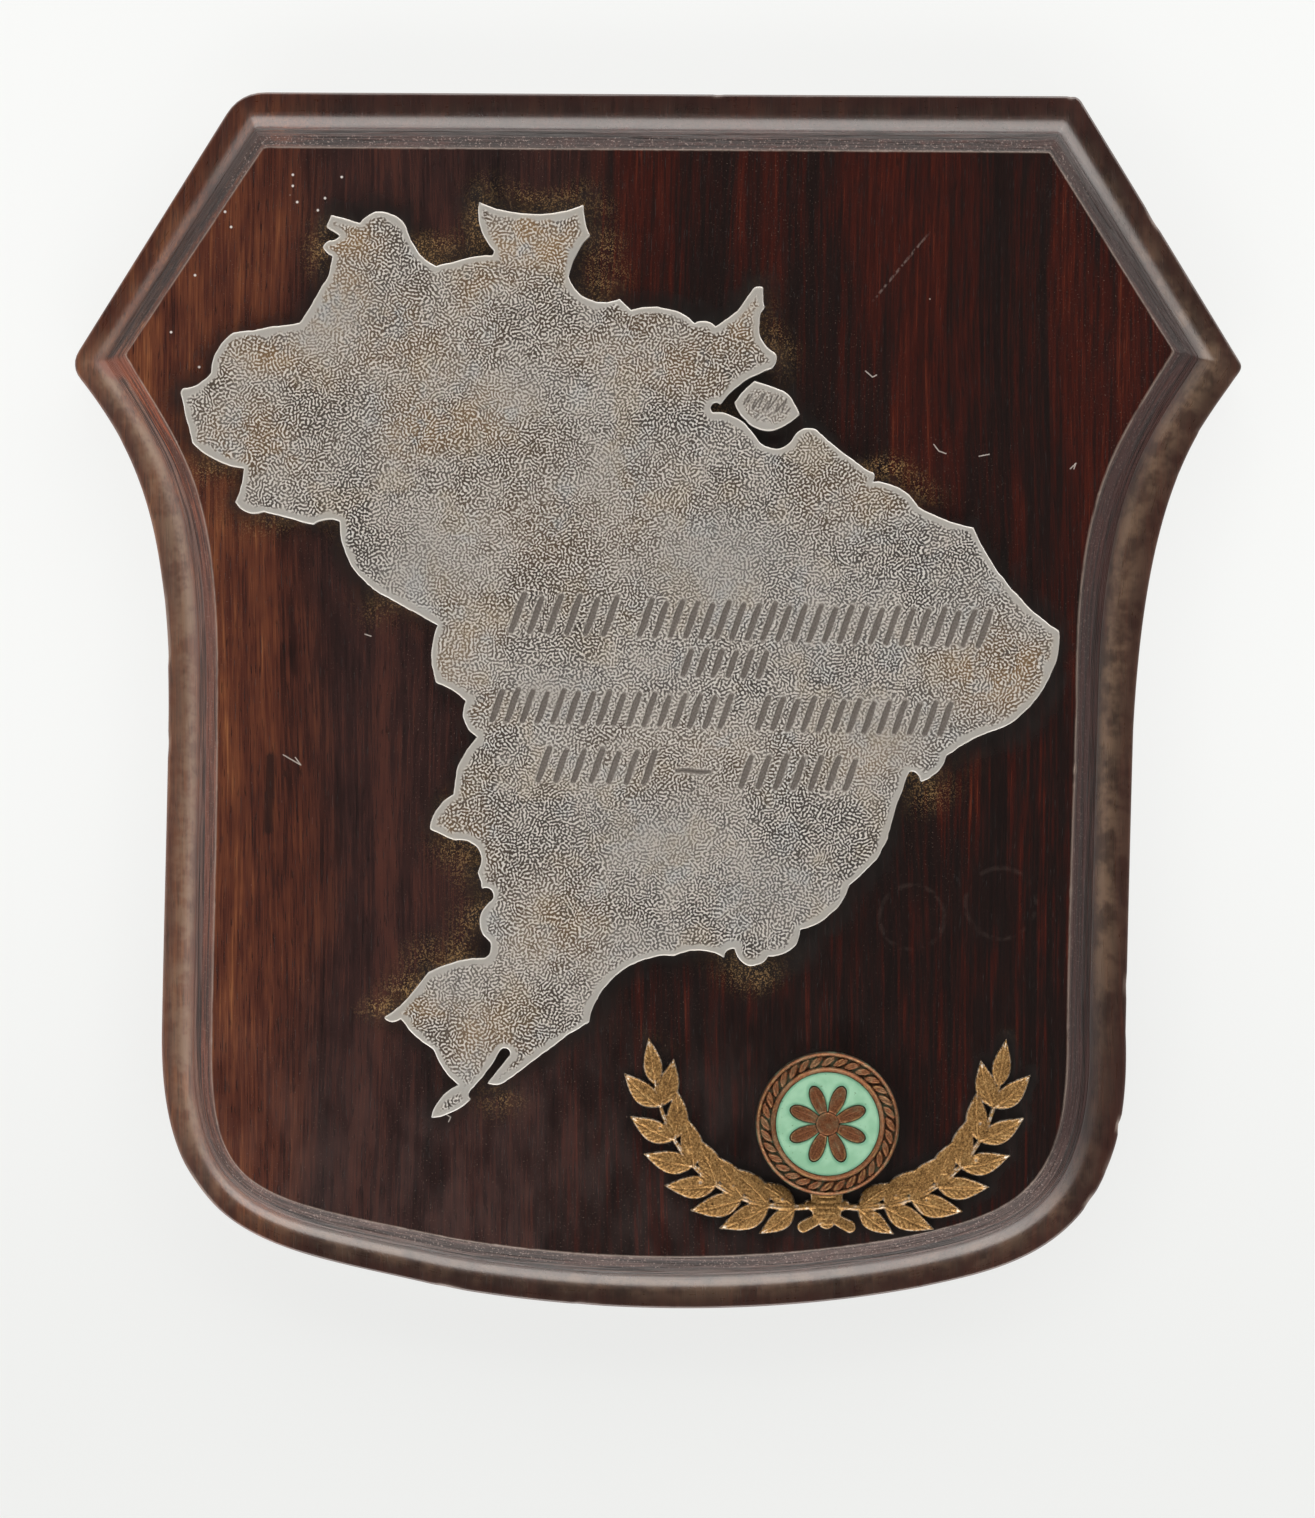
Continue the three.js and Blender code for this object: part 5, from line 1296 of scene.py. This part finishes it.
def plain(name, colour, glow, see_through_back=False, fade=None):
    """Matt and pale, with a little light of its own so that shadows on it stay soft."""
    mat = bpy.data.materials.new(name)
    mat.use_nodes = True
    tree = mat.node_tree
    tree.nodes.clear()
    out = tree.nodes.new("ShaderNodeOutputMaterial")
    diffuse = tree.nodes.new("ShaderNodeBsdfDiffuse")
    diffuse.inputs["Color"].default_value = (*colour, 1)
    emit = tree.nodes.new("ShaderNodeEmission")
    emit.inputs["Color"].default_value = (*glow, 1)
    if fade:                                                         # dimmer towards the foot
        place = tree.nodes.new("ShaderNodeTexCoord")
        parts = tree.nodes.new("ShaderNodeSeparateXYZ")
        tree.links.new(place.outputs["Object"], parts.inputs[0])
        ease = tree.nodes.new("ShaderNodeMapRange")
        ease.interpolation_type = "SMOOTHSTEP"
        tree.links.new(parts.outputs[2], ease.inputs[0])
        for socket, value in zip(ease.inputs[1:5], fade):
            socket.default_value = value
        tree.links.new(ease.outputs[0], emit.inputs["Strength"])
    both = tree.nodes.new("ShaderNodeAddShader")
    tree.links.new(diffuse.outputs[0], both.inputs[0])
    tree.links.new(emit.outputs[0], both.inputs[1])
    if see_through_back:
        geometry = tree.nodes.new("ShaderNodeNewGeometry")
        clear = tree.nodes.new("ShaderNodeBsdfTransparent")
        mix = tree.nodes.new("ShaderNodeMixShader")
        tree.links.new(geometry.outputs["Backfacing"], mix.inputs[0])
        tree.links.new(both.outputs[0], mix.inputs[1])
        tree.links.new(clear.outputs[0], mix.inputs[2])
        tree.links.new(mix.outputs[0], out.inputs["Surface"])
    else:
        tree.links.new(both.outputs[0], out.inputs["Surface"])
    return mat


def sheet_of(name, corners, material):
    me = bpy.data.meshes.new(name)
    me.from_pydata(corners, [], [(0, 1, 2, 3)])
    me.materials.append(material)
    ob = bpy.data.objects.new(name, me)
    bpy.context.scene.collection.objects.link(ob)
    ob.visible_diffuse = ob.visible_glossy = ob.visible_transmission = ob.visible_shadow = False
    return ob


# a pale wall just behind the plaque, one-sided so that the back can be looked at, and a pale floor
sheet_of("stage_wall", [(-2, 0.0006, -0.32), (2, 0.0006, -0.32), (2, 0.0006, 2), (-2, 0.0006, 2)], plain("stage_wall", (0.120, 0.128, 0.128), (0.802, 0.804, 0.794), True, (0.02, -0.16, 1.0, 0.900)))
sheet_of("stage_floor", [(-3, -3, -0.32), (3, -3, -0.32), (3, 3, -0.32), (-3, 3, -0.32)], plain("stage_floor", (0.24, 0.25, 0.25), (0.56, 0.565, 0.555)))

world = bpy.data.worlds.new("studio")
bpy.context.scene.world = world
world.use_nodes = True
wt = world.node_tree
wt.nodes.clear()


def wmath(op, a, b=None, clamp=False):
    n = wt.nodes.new("ShaderNodeMath")
    n.operation = op
    n.use_clamp = clamp
    for s, v in zip(n.inputs, (a, b)):
        if isinstance(v, bpy.types.NodeSocket):
            wt.links.new(v, s)
        elif v is not None:
            s.default_value = v
    return n.outputs[0]


def wspan(v, a, b, lo=0.0, hi=1.0):
    n = wt.nodes.new("ShaderNodeMapRange")
    n.interpolation_type = "SMOOTHSTEP"
    wt.links.new(v, n.inputs[0])
    for s, x in zip(n.inputs[1:5], (a, b, lo, hi)):
        s.default_value = x
    return n.outputs[0]


direction = wt.nodes.new("ShaderNodeTexCoord")
axes = wt.nodes.new("ShaderNodeSeparateXYZ")
wt.links.new(direction.outputs["Generated"], axes.inputs[0])
dx, dy, dz = axes.outputs
front = wmath("MULTIPLY", dy, -1.0)
# a dark opening ahead of the plaque, inside a broad ring of soft light, pale behind
ring_light = wmath("MULTIPLY", wspan(front, 0.74, 0.52), wspan(front, -0.15, 0.02))
corner = wmath("MULTIPLY", wspan(dz, 0.12, 0.45), wmath("ADD", wmath("MULTIPLY", wspan(dx, -0.30, -0.70), -0.80),
                                                        wmath("MULTIPLY", wspan(dx, 0.30, 0.70), 1.02)))
side = wmath("ADD", wmath("MULTIPLY", wspan(dx, 0.05, -0.75), 0.02), wmath("MULTIPLY", wspan(dx, 0.38, 0.80), -0.84))
updown = wmath("ADD", wmath("MULTIPLY", wspan(dz, 0.2, 0.8), 0.75), wmath("MULTIPLY", wspan(dz, -0.2, -0.8), 0.85))
strength = wmath("ADD", wmath("ADD", wmath("ADD", side, corner), updown), 0.95)
lit = wmath("MULTIPLY", wmath("MULTIPLY", ring_light, strength), 2.46)
rear = wmath("MULTIPLY", wspan(front, 0.05, -0.15), 0.85)
total = wmath("ADD", wmath("ADD", lit, rear), 0.05)
ray = wt.nodes.new("ShaderNodeLightPath")
light = wt.nodes.new("ShaderNodeBackground")
light.inputs["Color"].default_value = (1.0, 0.958, 0.920, 1)
wt.links.new(total, light.inputs["Strength"])
seen = wt.nodes.new("ShaderNodeBackground")
seen.inputs["Color"].default_value = (0.84, 0.84, 0.84, 1)
choose = wt.nodes.new("ShaderNodeMixShader")
wt.links.new(ray.outputs["Is Camera Ray"], choose.inputs[0])
wt.links.new(light.outputs[0], choose.inputs[1])
wt.links.new(seen.outputs[0], choose.inputs[2])
wout = wt.nodes.new("ShaderNodeOutputWorld")
wt.links.new(choose.outputs[0], wout.inputs["Surface"])

cam_data = bpy.data.cameras.new("camera")
cam_data.lens = 100.79
cam_data.sensor_width = 36
cam_data.sensor_fit = "AUTO"
cam_data.clip_start = 0.01
cam = bpy.data.objects.new("camera", cam_data)
bpy.context.scene.collection.objects.link(cam)
cam.matrix_world = (Matrix.Translation((-0.0003, -0.8615, -0.0117)) @ Matrix.Rotation(math.radians(90), 4, "X")
                    @ Matrix.Rotation(math.radians(0.25), 4, "Z"))
bpy.context.scene.camera = cam

settings = bpy.context.scene.view_settings
settings.view_transform = "Standard"
settings.look = "None"
settings.exposure = 0.0
settings.gamma = 1.0

bpy.context.view_layer.update()
